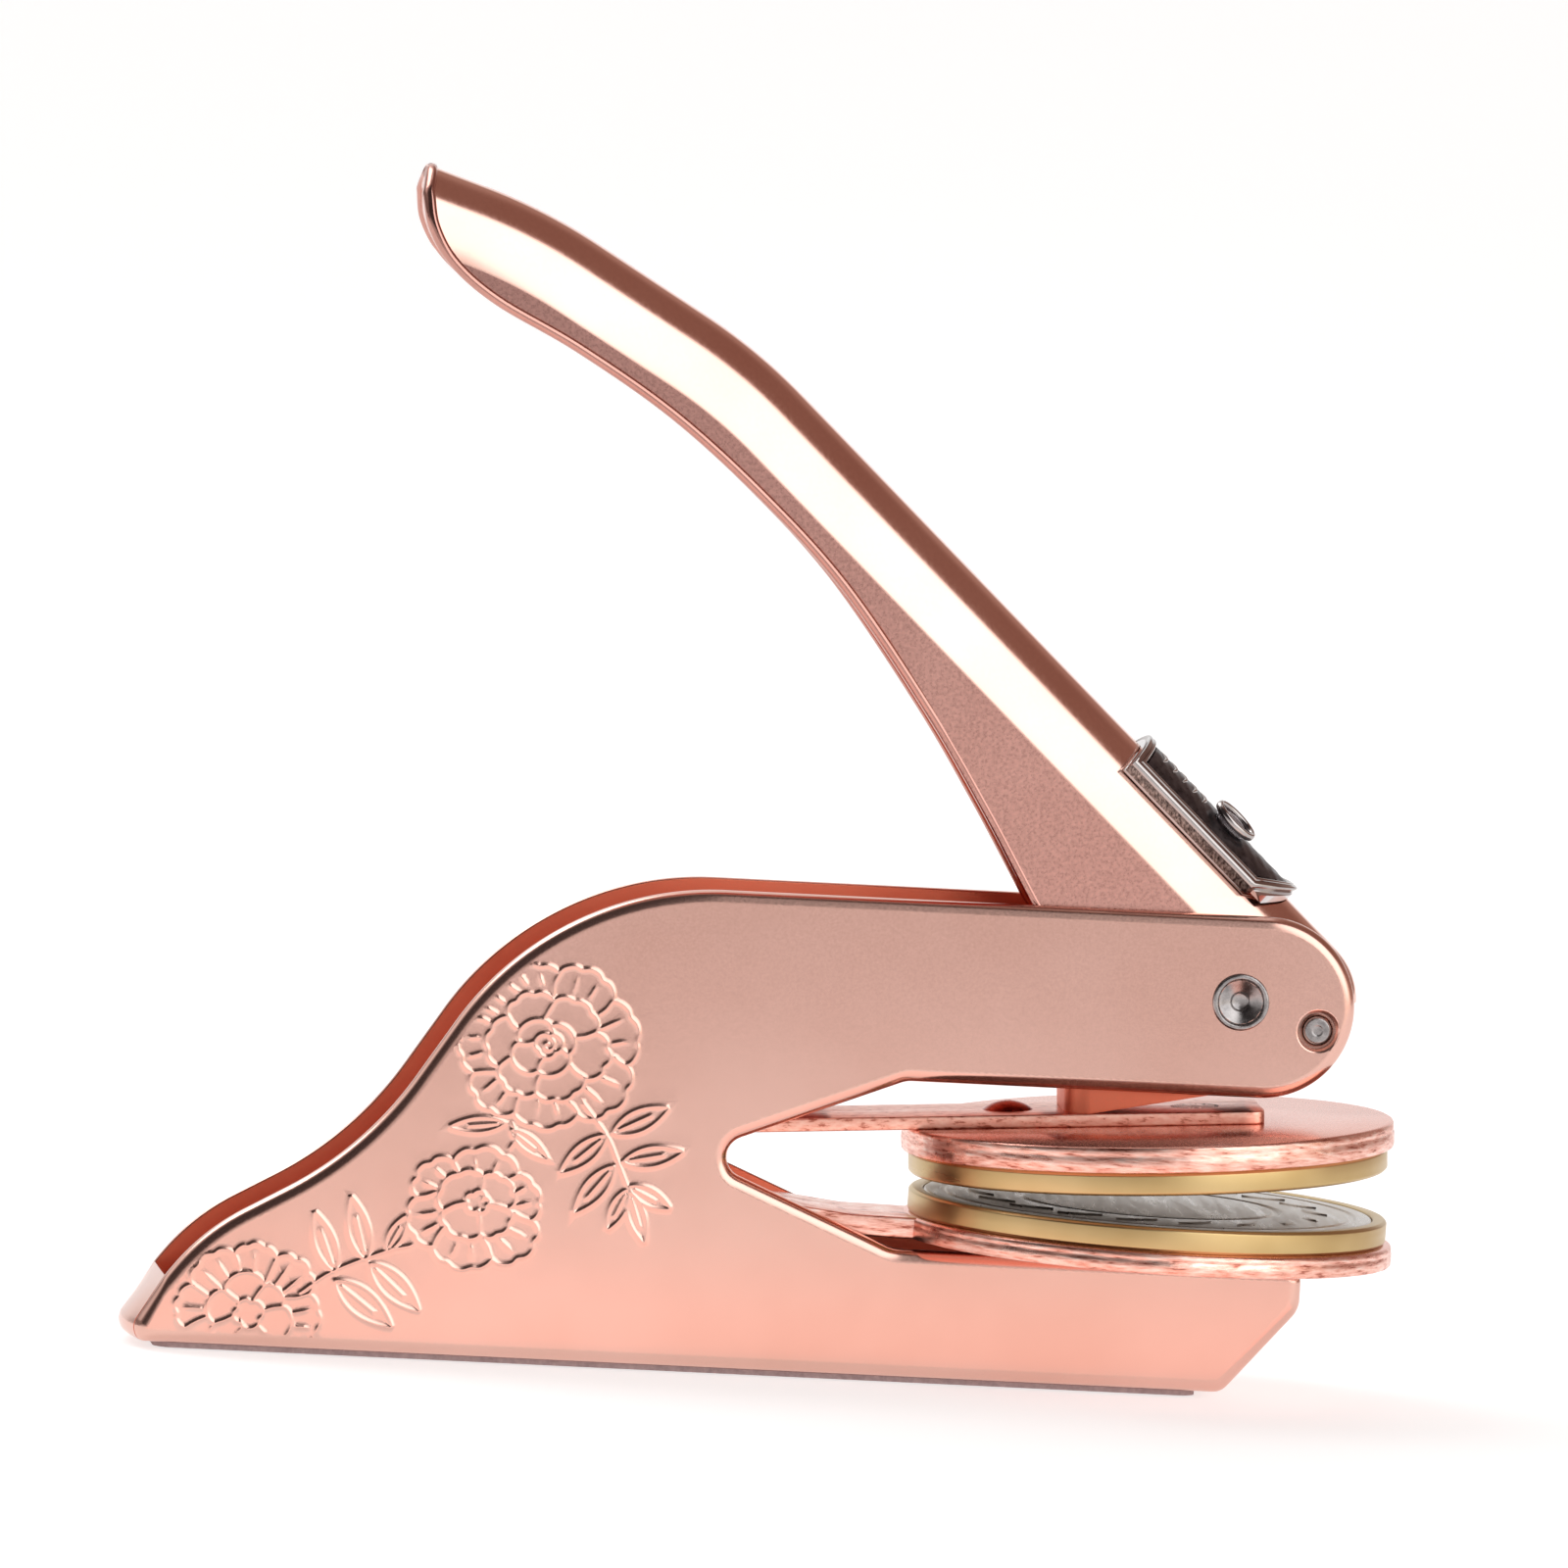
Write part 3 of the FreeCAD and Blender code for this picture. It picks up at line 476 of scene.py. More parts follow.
rose_enamel = rose_metal("rose_enamel", (234, 189, 175), (226, 179, 164), (0.17, 0.22),
                         4200.0, 0.015, 0.03)
# The lever's flanks, with painted shade darkening them towards the tip.
rose_lever = rose_metal("rose_lever", (226, 174, 162), (214, 160, 148), (0.24, 0.36),
                        2600.0, 0.14, 0.22, (186, 140, 131))
rose_crown = rose_metal("rose_crown", (246, 204, 190), (240, 192, 176), (0.10, 0.15),
                        2600.0, 0.01, 0.04)
# Painted shade: a darker copy of the lever's plating for the bead.
rose_bead = rose_metal("rose_bead", (208, 158, 146), (192, 140, 128), (0.16, 0.24),
                       2600.0, 0.04, 0.08)
# Painted shade and bounced light: a darker, redder copy of the plating for faces inside the
# frame, inside the lever and under the arm.
rose_inner_shade = rose_metal("rose_inner_shade", (244, 140, 110), (232, 120, 90), (0.40, 0.55), 3600.0)
rose_satin = rose_metal("rose_satin", (246, 186, 170), (236, 168, 150), (0.20, 0.30),
                        3000.0, 0.04, 0.08)
rose_sheet = surface("rose_sheet", (1500.0, 4.0, 0.62, (0.28, 0.28, 1.9)),
                     [(0.32, (168, 96, 80)), (0.41, (232, 168, 150)),
                      (0.52, (248, 196, 180)), (0.70, (255, 226, 214))],
                     (0.3, 0.7, 0.2, 0.42), (0.35, 0.0001),
                     (420.0, 4.0, 0.6, (0.12, 1.0, 1.0)), False, Metallic=1.0)
spring_steel = surface("spring_steel", (1700.0, 3.0, 0.6, (0.5, 1.0, 1.4)),
                       [(0.33, (184, 110, 92)), (0.44, (240, 174, 154)),
                        (0.75, (253, 208, 190))],
                       (0.3, 0.7, 0.24, 0.4), (0.25, 0.00003),
                       (500.0, 4.0, 0.6, (0.08, 1.0, 1.0)), Metallic=1.0)
brass = surface("brass", (60.0, 3.0), [(0.3, (188, 159, 107)), (0.7, (211, 186, 136))],
                (0.3, 0.7, 0.26, 0.38), (0.2, 0.00003),
                (600.0, 3.0, 0.5, (0.05, 0.05, 1.0)), Metallic=1.0)
zinc = surface("engraved_zinc", (700.0, 4.0, 0.7, (1.0, 0.1, 1.0)),
               [(0.25, (176, 168, 162)), (0.75, (228, 222, 216))],
               (0.3, 0.7, 0.22, 0.42), (0.2, 0.00003), Metallic=1.0)
chrome = surface("chrome", (260.0, 4.0), [(0.3, (208, 202, 202)), (0.7, (226, 220, 220))],
                 (0.35, 0.7, 0.06, 0.16), (0.06, 0.00003), Metallic=1.0)
badge_metal = surface("badge_metal", (260.0, 4.0),
                      [(0.3, (168, 162, 160)), (0.7, (186, 180, 178))],
                      (0.35, 0.7, 0.06, 0.16), (0.06, 0.00003), Metallic=1.0)
badge_side = surface("badge_side", (5200.0, 3.0, 0.7, (1.0, 0.35, 0.35)),
                     [(0.34, (70, 66, 64)), (0.50, (128, 122, 118)), (0.68, (196, 188, 182))],
                     (0.3, 0.7, 0.22, 0.45), (0.4, 0.00006), Metallic=1.0)
pin_steel = surface("pin_steel", (900.0, 3.0, 0.6),
                    [(0.3, (134, 130, 130)), (0.7, (182, 177, 176))],
                    (0.3, 0.7, 0.18, 0.34), (0.12, 0.00003), Metallic=1.0)
rivet_red = surface("rivet_red", (800.0, 4.0, 0.6),
                    [(0.3, (150, 62, 46)), (0.7, (196, 96, 76))],
                    (0.3, 0.7, 0.2, 0.36), (0.2, 0.00004), Metallic=1.0)
rubber = surface("base_rubber", (1500.0, 5.0, 0.7),
                 [(0.3, (146, 124, 124)), (0.7, (180, 156, 154))],
                 (0.3, 0.7, 0.7, 0.9), (0.5, 0.0001))
dark_inlay = surface("dark_inlay", (1300.0, 4.0, 0.6),
                     [(0.3, (58, 54, 56)), (0.7, (92, 86, 88))],
                     (0.3, 0.7, 0.24, 0.42), (0.3, 0.00005), Metallic=0.85)
gem = surface("gem_glass", (500.0, 3.0), [(0.3, (176, 170, 176)), (0.7, (226, 220, 224))],
              (0.3, 0.7, 0.03, 0.1), None, Transmission_Weight=0.75, IOR=1.52)


# ---------------------------------------------------------------------- flower relief
# Raised line drawing of generic blooms and sprigs.  Strokes are (x, z) paths in mm.

class Ring:
    """A scalloped closed line round a centre: petals between cusps."""

    def __init__(self, centre, radius, petals, depth, lobes, squash, rng, start):
        self.centre = Vector(centre)
        self.squash = squash
        self.depth = depth
        self.lobes = lobes
        gaps = [1 + rng.uniform(-0.22, 0.22) for _ in range(petals)]
        total = sum(gaps)
        self.cusps = [start]
        for size in gaps:
            self.cusps.append(self.cusps[-1] + 2 * math.pi * size / total)
        self.sizes = [radius * (1 + rng.uniform(-0.05, 0.06)) for _ in range(petals)]

    def radius(self, angle):
        angle = (angle - self.cusps[0]) % (2 * math.pi) + self.cusps[0]
        for k, size in enumerate(self.sizes):
            a, b = self.cusps[k], self.cusps[k + 1]
            if a <= angle <= b:
                t = (angle - a) / (b - a)
                swell = math.sin(math.pi * t) ** 0.5
                if self.lobes == 3:
                    swell -= 0.22 * math.exp(-((t - 0.34) / 0.07) ** 2)
                    swell -= 0.22 * math.exp(-((t - 0.68) / 0.07) ** 2)
                mean = self.sizes[k - 1] * 0.5 + size * 0.5
                edge = mean * (1 - self.depth)
                return edge * (1 - swell) + size * swell if swell < 1 else size
        return self.sizes[0]

    def point(self, angle, radius=None):
        r = self.radius(angle) if radius is None else radius
        return self.centre + Vector((r * math.cos(angle), r * math.sin(angle) * self.squash))

    def outline(self):
        steps = max(60, int(40 * self.sizes[0]))
        return [self.point(self.cusps[0] + 2 * math.pi * k / steps) for k in range(steps + 1)]


def bloom(centre, rings, squash, seed, vein_ring):
    """Nested scalloped rings joined by petal sides, with short veins in the outer petals."""
    rng = random.Random(seed)
    strokes = []
    inner = None
    for index, (radius, petals, depth, lobes, dx, dz) in enumerate(rings):
        ring = Ring((centre[0] + dx, centre[1] + dz), radius, petals, depth, lobes, squash, rng,
                    rng.uniform(0, 6.28))
        strokes.append(ring.outline())
        if inner is not None:
            for a in ring.cusps[:-1]:
                outer_end = ring.point(a)
                bend = a + rng.uniform(-0.14, 0.14)
                inner_end = inner.point(bend, inner.radius(bend) * 1.07)
                middle = outer_end.lerp(inner_end, 0.5)
                side = Vector((-(outer_end - inner_end).y, (outer_end - inner_end).x))
                strokes.append(smooth_path([outer_end, middle + side * rng.uniform(-0.1, 0.1),
                                            inner_end], 5))
            if index >= vein_ring:
                for a, b in zip(ring.cusps, ring.cusps[1:]):
                    count = 2 if (b - a) * radius > 6.0 else 1
                    for k in range(count):
                        angle = a + (b - a) * ((k + 1) / (count + 1))
                        r0 = inner.radius(angle) * 1.12
                        r1 = r0 + (ring.radius(angle) - r0) * rng.uniform(0.38, 0.55)
                        strokes.append([ring.point(angle, r0), ring.point(angle + 0.02, r1)])
        inner = ring
    return strokes


def curl(centre, size, turns):
    """A small spiral at the heart of a bloom."""
    return [Vector((centre[0] + size * t * math.cos(t * turns * 6.28),
                    centre[1] + size * t * math.sin(t * turns * 6.28)))
            for t in [0.12 + 0.88 * k / 22 for k in range(23)]]


def leaf(base, tip, width):
    """A pointed leaf outline with a short middle vein."""
    b = Vector(base)
    along = Vector(tip) - b
    across = Vector((-along.y, along.x)).normalized() * width / 2
    left, right = [], []
    for i in range(19):
        s = i / 18
        bulge = math.sin(math.pi * s ** 0.9) ** 0.85
        left.append(b + along * s + across * bulge)
        right.append(b + along * s - across * bulge)
    return [left, right, [b + along * 0.12, b + along * 0.66]]


def sprig(stem, per_span, leaves=()):
    """A stem through points, with (base, tip, width) leaves."""
    return [smooth_path(stem, per_span)] + [stroke for row in leaves for stroke in leaf(*row)]


STROKES = (
    bloom((-24.6, 33.9), [(1.5, 3, 0.3, 1, 0.2, 0.3), (3.5, 4, 0.26, 1, -0.2, 0.0),
                          (6.5, 6, 0.2, 3, 0.1, -0.1), (9.9, 8, 0.15, 3, 0.1, 0.1)], 0.92, 8, 3)
    + [curl((-24.4, 34.2), 0.8, 1.2)]
    + bloom((-31.2, 16.3), [(1.3, 5, 0.34, 1, 0.3, 0.9), (4.4, 4, 0.24, 3, 0.2, 0.5),
                            (7.5, 6, 0.2, 3, 0, 0)], 0.90, 14, 2)
    + bloom((-54.4, 3.8), [(1.6, 4, 0.3, 1, 0, 0.4), (4.4, 6, 0.22, 1, 0, 0.2),
                           (8.0, 8, 0.16, 3, 0, 0)], 1.0, 27, 2)
    + sprig([(-20.2, 28.1), (-17.6, 24.9), (-16.3, 22.3), (-15.0, 19.4)], 6,
            [((-17.0, 25.2), (-11.1, 28.2), 2.3), ((-15.7, 22.2), (-9.3, 23.6), 2.1),
             ((-17.6, 24.9), (-22.4, 20.6), 2.1), ((-16.6, 21.7), (-20.7, 16.4), 2.2),
             ((-15.0, 19.3), (-17.0, 14.8), 1.7), ((-14.8, 19.0), (-12.9, 13.6), 1.8),
             ((-14.9, 19.6), (-10.3, 17.4), 1.8), ((-28.4, 25.7), (-34.4, 25.0), 1.6),
             ((-27.8, 25.0), (-23.6, 22.0), 1.5)])
    + sprig([(-27.6, 25.6), (-27.2, 24.2), (-27.8, 23.0)], 5)
    + sprig([(-49.1, 6.6), (-45.9, 9.0), (-40.5, 11.4), (-37.6, 12.2)], 6,
            [((-45.5, 9.0), (-48.1, 15.4), 2.2), ((-42.3, 10.4), (-44.3, 17.2), 2.3),
             ((-45.5, 8.1), (-39.1, 3.4), 2.8), ((-41.9, 10.1), (-36.3, 5.2), 2.6),
             ((-40.2, 11.5), (-38.3, 15.4), 1.5)]))

RIDGE_WIDTH = 0.21
RIDGE_HEIGHT = 0.12
RIDGE_REACH = 1.0
RIDGE_ROWS = (0.0, 0.11, -0.11, 0.22, -0.22, 0.37, -0.37, 0.62, -0.62)
RIDGE_CELL = 0.085

ridges = tree_of([p for stroke in STROKES for p in resample(stroke, 0.05)])


def relief_height(x, z):
    """Height of the raised line at a place on the side face."""
    d = gap(ridges, x, z)
    return math.exp(-(d / RIDGE_WIDTH) ** 2) * RIDGE_HEIGHT if d <= RIDGE_REACH else 0.0


def relief_points(step):
    """Mesh points in rows along every raised line, none closer together than needed."""
    taken = {}
    points = []

    def free(p):
        cx, cz = math.floor(p.x / RIDGE_CELL), math.floor(p.y / RIDGE_CELL)
        for i in (-1, 0, 1):
            for j in (-1, 0, 1):
                other = taken.get((cx + i, cz + j))
                if other is not None and (other - p).length < RIDGE_CELL * 0.8:
                    return False
        taken[(cx, cz)] = p
        return True

    lines = []
    for stroke in STROKES:
        path = resample(stroke, 0.08)
        length = 0.0
        kept = [path[0]]
        for a, b in zip(path, path[1:]):
            length += (b - a).length
            if length >= step:
                kept.append(b)
                length = 0.0
        if len(kept) > 1:
            lines.append((kept, path_normals(kept)))
    for row in RIDGE_ROWS:
        for path, normals in lines:
            for p, n in zip(path, normals):
                q = p + n.normalized() * row
                if abs(row) > 0.05 and gap(ridges, q.x, q.y) < abs(row) * 0.7:
                    continue
                if free(q):
                    points.append(q)
    return points


# ------------------------------------------------------------------------ body frame

OUTLINE = resample(corner_path(FRAME_CORNERS), 0.9)[:-1]
OUTLINE.reverse()
OUTLINE_NORMALS = path_normals(OUTLINE, True)


def offset_outline(distance):
    """The outline moved inwards."""
    return [p + n * distance for p, n in zip(OUTLINE, OUTLINE_NORMALS)]


def tail_pull(x, y):
    """The x of a point, moved in where the tail is round in plan."""
    if x > TAIL_X + TAIL_LENGTH:
        return x
    limit = TAIL_X + TAIL_PLAN_RADIUS - math.sqrt(max(0.0, TAIL_PLAN_RADIUS ** 2 - y * y))
    share = max(0.0, min(1.0, (TAIL_X + TAIL_LENGTH - x) / TAIL_LENGTH))
    return x + (limit - TAIL_X) * share


def face_points(polygon, step):
    """Interior points: rows along the raised lines, and a coarse grid elsewhere."""
    boundary = tree_of(polygon)
    pts = [p for p in relief_points(step)
           if gap(boundary, p.x, p.y) > 0.34 and inside(polygon, p.x, p.y)]
    xs = [p.x for p in polygon]
    zs = [p.y for p in polygon]
    for x in np.arange(min(xs), max(xs), 1.6):
        for z in np.arange(min(zs), max(zs), 1.6):
            if (gap(ridges, x, z) >= RIDGE_REACH and gap(boundary, x, z) > 0.7
                    and inside(polygon, x, z)):
                pts.append(Vector((float(x), float(z))))
    return pts


def side_plate(side, fine):
    """One side wall: a flat face with the relief, a rounded rim and a flat inner face."""
    n = len(OUTLINE)
    rim = []
    for k in range(10):
        a = math.pi / 2 * k / 9
        rim.append((EDGE_ROUND * (1 - math.sin(a)), HALF_WIDTH - EDGE_ROUND * (1 - math.cos(a))))
    for k in range(4):
        a = math.pi / 2 * k / 3
        rim.append((INNER_ROUND * (1 - math.cos(a)), HALF_GAP + INNER_ROUND * (1 - math.sin(a))))
    verts = [(tail_pull(p.x, y), side * y, p.y)
             for distance, y in rim for p in offset_outline(distance)]
    faces = quads(len(rim), n)
    rim_tree = tree_of(offset_outline(EDGE_ROUND))

    def face(distance, y, stop_radius, relief):
        polygon = offset_outline(distance)
        points, edges = [], []
        add_line(points, edges, polygon, True)
        if relief:
            points += offset_outline(distance + 0.16)
        holes = [(Vector(STOP), stop_radius), (Vector(PIVOT), PIVOT_HOLE)]
        for centre, radius in holes:
            add_line(points, edges, circle(centre, radius, HOLE_POINTS), True)
            for guard in (0.12, 0.4):
                points += circle(centre, radius + guard, HOLE_POINTS)
        if relief:
            points += [p for p in face_points(polygon, fine)
                       if all((p - centre).length > radius + 0.6 for centre, radius in holes)]
        v, f = triangulate(points, edges)
        base = len(verts)
        for p in v:
            h = 0.0
            if relief:
                h = relief_height(p.x, p.y) * min(1.0, gap(rim_tree, p.x, p.y) / 0.5)
            verts.append((tail_pull(p.x, y), side * (y + h), p.y))
        for tri in f:
            middle = Vector((sum(v[i].x for i in tri) / 3, sum(v[i].y for i in tri) / 3))
            if all((middle - centre).length >= radius * 0.98 for centre, radius in holes):
                faces.append(tuple(base + i for i in tri))

    face(EDGE_ROUND, HALF_WIDTH, STOP_BEVEL, True)
    face(INNER_ROUND, HALF_GAP, STOP_HOLE, False)
    stop_bore = [(STOP_BEVEL, HALF_WIDTH), (2.24, HALF_WIDTH - 0.03), (2.14, HALF_WIDTH - 0.12),
                 (1.62, HALF_WIDTH - 0.85), (STOP_HOLE, HALF_WIDTH - 0.98),
                 (STOP_HOLE, HALF_GAP)]
    pivot_bore = [(PIVOT_HOLE, HALF_WIDTH), (PIVOT_HOLE, HALF_GAP)]
    for centre, bore in ((STOP, stop_bore), (PIVOT, pivot_bore)):
        faces += quads(len(bore), HOLE_POINTS, first=len(verts))
        verts += [(p.x, side * y, p.y) for r, y in bore for p in circle(centre, r, HOLE_POINTS)]
    wall = new_object("frame_wall_near" if side < 0 else "frame_wall_far", verts, faces,
                      rose_enamel, 60.0)
    wall.data.materials.append(rose_inner_shade)
    # Inner faces get the painted-shade copy of the plating.
    for polygon in wall.data.polygons:
        if abs(polygon.center.y) < (HALF_GAP + 0.04) * MM and abs(polygon.normal.y) > 0.9:
            polygon.material_index = 1
    return wall


def outline_strip(name, start, end, thickness):
    """A cross wall that follows the outline from near one point to near another."""
    n = len(OUTLINE)
    first, last = (min(range(n), key=lambda i: (OUTLINE[i] - Vector(place)).length)
                   for place in (start, end))
    ids = [(first + k) % n for k in range((last - first) % n + 1)]
    outer = [OUTLINE[i] for i in ids]
    inner = [OUTLINE[i] + OUTLINE_NORMALS[i] * thickness for i in ids]
    columns = [-WEB_HALF, -4.8, -3.2, -1.6, 0.0, 1.6, 3.2, 4.8, WEB_HALF]
    verts = [(tail_pull(p.x, y), y, p.y) for y in columns for p in outer + inner]
    faces = []
    m = len(ids)
    for c in range(len(columns) - 1):
        a, b = c * 2 * m, (c + 1) * 2 * m
        for i in range(m - 1):
            faces.append((a + i, a + i + 1, b + i + 1, b + i))
            faces.append((a + m + i, b + m + i, b + m + i + 1, a + m + i + 1))
        faces.append((a, b, b + m, a + m))
        faces.append((a + m - 1, a + 2 * m - 1, b + 2 * m - 1, b + m - 1))
    for a in (0, (len(columns) - 1) * 2 * m):
        faces += [(a + i, a + m + i, a + m + i + 1, a + i + 1) for i in range(m - 1)]
    obj = new_object(name, verts, faces, rose_inner_shade, 35.0)
    obj.data.materials.append(rose_enamel)
    edge = tree_of(outer)
    for polygon in obj.data.polygons:
        c = polygon.center / MM
        if gap(edge, c.x, c.z) < thickness * 0.45 + 0.2 and abs(c.y) < HALF_GAP:
            polygon.material_index = 1
    return obj


def cross_block(name, outline, bevel):
    """A block between the frame's walls, from its (x, z) outline."""
    n = len(outline)
    verts = [(x, y, z) for y in (-WEB_HALF, WEB_HALF) for x, z in outline]
    faces = [tuple(range(n)), tuple(range(2 * n - 1, n - 1, -1))] + quads(2, n)
    block = new_object(name, verts, faces, rose_inner_shade, 35.0)
    bevel_edges(block, bevel)
    return block


relief_step = 0.21
hand_over(join([
    side_plate(-1, relief_step), side_plate(1, relief_step),
    outline_strip("floor", (-63.4, 7.2), (57.2, 12.6), 1.6),
    outline_strip("arm_web", (7.0, 29.3), (29.4, 32.1), 1.5),
    outline_strip("nose_web", (51.3, 32.1), (60.4, 38.2), 1.6),
    cross_block("rib_0", [(-24, 1.5), (-18, 1.5), (-18, 17.4), (-24, 17.4)], 0.35),
    cross_block("rib_1", [(-24, 24.95), (-18, 24.95), (-18, 28.45), (-24, 28.45)], 0.35),
    cross_block("rib_2", [(-26, 1.5), (-24.1, 1.5), (-24.1, 28.45), (-26, 28.45)], 0.35),
    cross_block("anvil", [(27.2, 9.1), (54.8, 8.7), (54.8, 14.60), (27.2, 14.98)], 0.3),
], "body_casting"), "frame", "body_frame")


# ----------------------------------------------------------------------------- lever

def inset_corners(corners, distance):
    """Crown corners moved inwards, to the right of their path."""
    moved = []
    for i, c in enumerate(corners):
        here = Vector(c[:2])
        before = Vector(corners[max(i - 1, 0)][:2])
        after = Vector(corners[min(i + 1, len(corners) - 1)][:2])
        first = (here - before).normalized() if i > 0 else (after - here).normalized()
        last = (after - here).normalized() if i < len(corners) - 1 else first
        d = (first + last).normalized()
        reach = distance / d.dot(first)
        radius = c[2] - distance if c[2] > 0 else 0
        moved.append((here.x + d.y * reach, here.y - d.x * reach, radius))
    return moved


def crown_line(distance):
    """The crown line at a depth below the crown, sampled alike at every depth."""
    corners = inset_corners(CROWN_CORNERS, distance)
    points = [Vector(corners[0][:2])]
    steps = range(1, CROWN_STEPS + 1)
    for before, corner, after in zip(corners, corners[1:], corners[2:]):
        centre, first, turn = fillet(before, corner, after)
        previous = points[-1]
        points += [previous.lerp(centre + first, i / CROWN_STEPS) for i in steps]
        points += [arc_point(centre, first, turn * i / CROWN_STEPS) for i in steps]
    points.append(Vector(corners[-1][:2]))
    return points


def crown_half(depth, wall):
    """Half the lever's width at a depth below its crown: an oval top on straight flanks."""
    crease = CROWN_DEPTH - wall
    full = LEVER_HALF - wall
    if depth >= crease:
        return full
    swell = math.sqrt(max(0.0, 1 - (1 - depth / crease) ** 2))
    return (full - CROWN_DRAFT * crease) * swell + CROWN_DRAFT * depth


def lever_shell(name, wall, region, material):
    """A closed body over a side region, with the crown's oval top and flat flanks."""
    crown = crown_line(wall)
    known = [(p, 0.0) for p in crown]
    points, edges = [], []
    levels = [d * (CROWN_DEPTH - wall) / CROWN_DEPTH for d in CROWN_LEVELS]
    for level in levels + [CROWN_DEPTH - wall, 8.4 - wall]:
        line = crown_line(wall + level)
        known += [(p, level) for p in line]
        add_line(points, edges, line)
    add_line(points, edges, crown)
    add_line(points, edges, region, True)
    v, f = triangulate(points, edges)

    known_tree = tree_of([p for p, _ in known])
    crown_tree = tree_of(resample(crown, 0.05))
    crown_polygon = crown + [Vector((crown[-1].x, 0)), Vector((crown[0].x, 0))]

    def half_y(p):
        _, i, distance = known_tree.find((p.x, p.y, 0))
        if distance < 0.004:
            return crown_half(known[i][1], wall)
        depth = gap(crown_tree, p.x, p.y)
        return crown_half(depth if depth > 0.03 else 0.0, wall)

    keep = []
    for tri in f:
        c = (v[tri[0]] + v[tri[1]] + v[tri[2]]) / 3
        if inside(region, c.x, c.y) and inside(crown_polygon, c.x, c.y):
            keep.append(tri)
    used = sorted({i for tri in keep for i in tri})
    index = {i: k for k, i in enumerate(used)}
    ys = [half_y(v[i]) for i in used]
    verts = [(v[i].x, side * y, v[i].y) for side in (-1, 1) for i, y in zip(used, ys)]
    count = len(used)
    faces = [tuple(index[i] for i in tri) for tri in keep]
    faces += [tuple(count + index[i] for i in reversed(tri)) for tri in keep]
    border = {}
    for tri in keep:
        for a, b in ((tri[0], tri[1]), (tri[1], tri[2]), (tri[2], tri[0])):
            key = (min(a, b), max(a, b))
            border[key] = None if key in border else (index[a], index[b])
    faces += [(b, a, count + a, count + b) for a, b in filter(None, border.values())]
    return new_object(name, verts, faces, material, 38.0)


# The lever's lower boundary, from the tip over the pusher's and the pivot's bosses.
under_line = resample(
    smooth_path(UNDER_POINTS, 10) + [polar(PUSHER, 4.7, 215 + k * 5.5) for k in range(11)]
    + [polar(PIVOT, 6.0, -90 + k * 7.6) for k in range(11)]
    + [Vector((55.6, 40.95)), Vector((64.0, 42.55))], 0.8)


def build_lever():
    """The lever: a solid with the crown's shape, hollowed from below."""
    region = under_line + [Vector((80.0, 70.0)), Vector((20.0, 140.0)), Vector((-41.0, 132.0))]
    shell = lever_shell("lever_outside", 0.0, region, rose_lever)
    cavity = smooth_path([(-39.9, 124.5), (-39.4, 118.9), (-36.2, 114.9), (-31.5, 112.0),
                          (-29.5, 108.5)], 6)
    cavity += [Vector((-29.5, 14.0)), Vector((80.0, 14.0)), Vector((80.0, 140.0)),
               Vector((-39.9, 140.0))]
    hollow = lever_shell("lever_hollow", LEVER_WALL, cavity, rose_inner_shade)
    cutter = shell.modifiers.new("hollow", "BOOLEAN")
    cutter.operation = "DIFFERENCE"
    cutter.object = hollow
    cutter.solver = "EXACT"
    bpy.context.view_layer.update()
    graph = bpy.context.evaluated_depsgraph_get()
    carved = bpy.data.meshes.new_from_object(shell.evaluated_get(graph))
    shell.modifiers.clear()
    shell.data = carved
    bpy.data.objects.remove(hollow)
    finish_mesh(shell, None, 38.0)
    return shell


def lever_bead():
    """The rounded bead that edges both flanges and runs over the tip of the crown."""
    sunk, sunk_deep = 0.48, 0.27
    wide, high, lift = 0.80, 0.62, 0.42
    path = under_line[:next(i for i, p in enumerate(under_line) if p.x > 30.0)]
    dense = resample(crown_line(0.0), 0.05)
    crown = tree_of(dense)

    def seat(p, depth, sink):
        """A point just inside the surface, and the surface's outward direction there."""
        here = dense[crown.find((p.x, p.y, 0))[1]]
        out = (here - p).normalized() if depth > 0.05 else Vector((0.3, 0.954))
        slope = (crown_half(depth + 0.02, 0.0) - crown_half(max(depth - 0.02, 0.0), 0.0)) / 0.04
        if depth < 0.04:
            slope = 40.0
        facing_out = Vector((out.x * slope, -1.0, out.y * slope)).normalized()
        return Vector((p.x, -crown_half(depth, 0.0), p.y)) - facing_out * sink, facing_out

    near = []
    for p, n in zip(path, path_normals(path)):
        sink = sunk if p.y > 78 else sunk + sunk_deep * min(1.0, (78 - p.y) / 10)
        point, across = seat(p, gap(crown, p.x, p.y), sink)
        near.append((point, across, Vector((n.x, 0, n.y)).normalized()))
    foot, top = path[0], Vector((-41.72, 126.02))
    foot_depth = gap(crown, foot.x, foot.y)
    over = []
    for k in range(1, 13):
        t = k / 12
        depth = foot_depth * (1 - t) ** 2
        point, across = seat(foot.lerp(top, 1 - depth / foot_depth), depth, sunk)
        if k == 12:
            point, across = Vector((top.x, 0, top.y - sunk)), Vector((0.3, 0, 0.954))
        over.append((point, across, near[0][2].lerp(Vector((0.95, 0, -0.30)), t).normalized()))
    half = list(reversed(near)) + over
    mirror = [(Vector((q.x, -q.y, q.z)), Vector((a.x, -a.y, a.z)), o)
              for q, a, o in reversed(half[:-1])]
    angles = [2 * math.pi * k / 20 for k in range(20)]
    section = [(wide * math.cos(a), lift + high * math.sin(a)) for a in angles]
    verts = [tuple(point + across * u + out * w)
             for point, across, out in half + mirror for u, w in section]
    return new_object("bead", verts, capped(len(half + mirror), len(section)), rose_bead, 50.0)


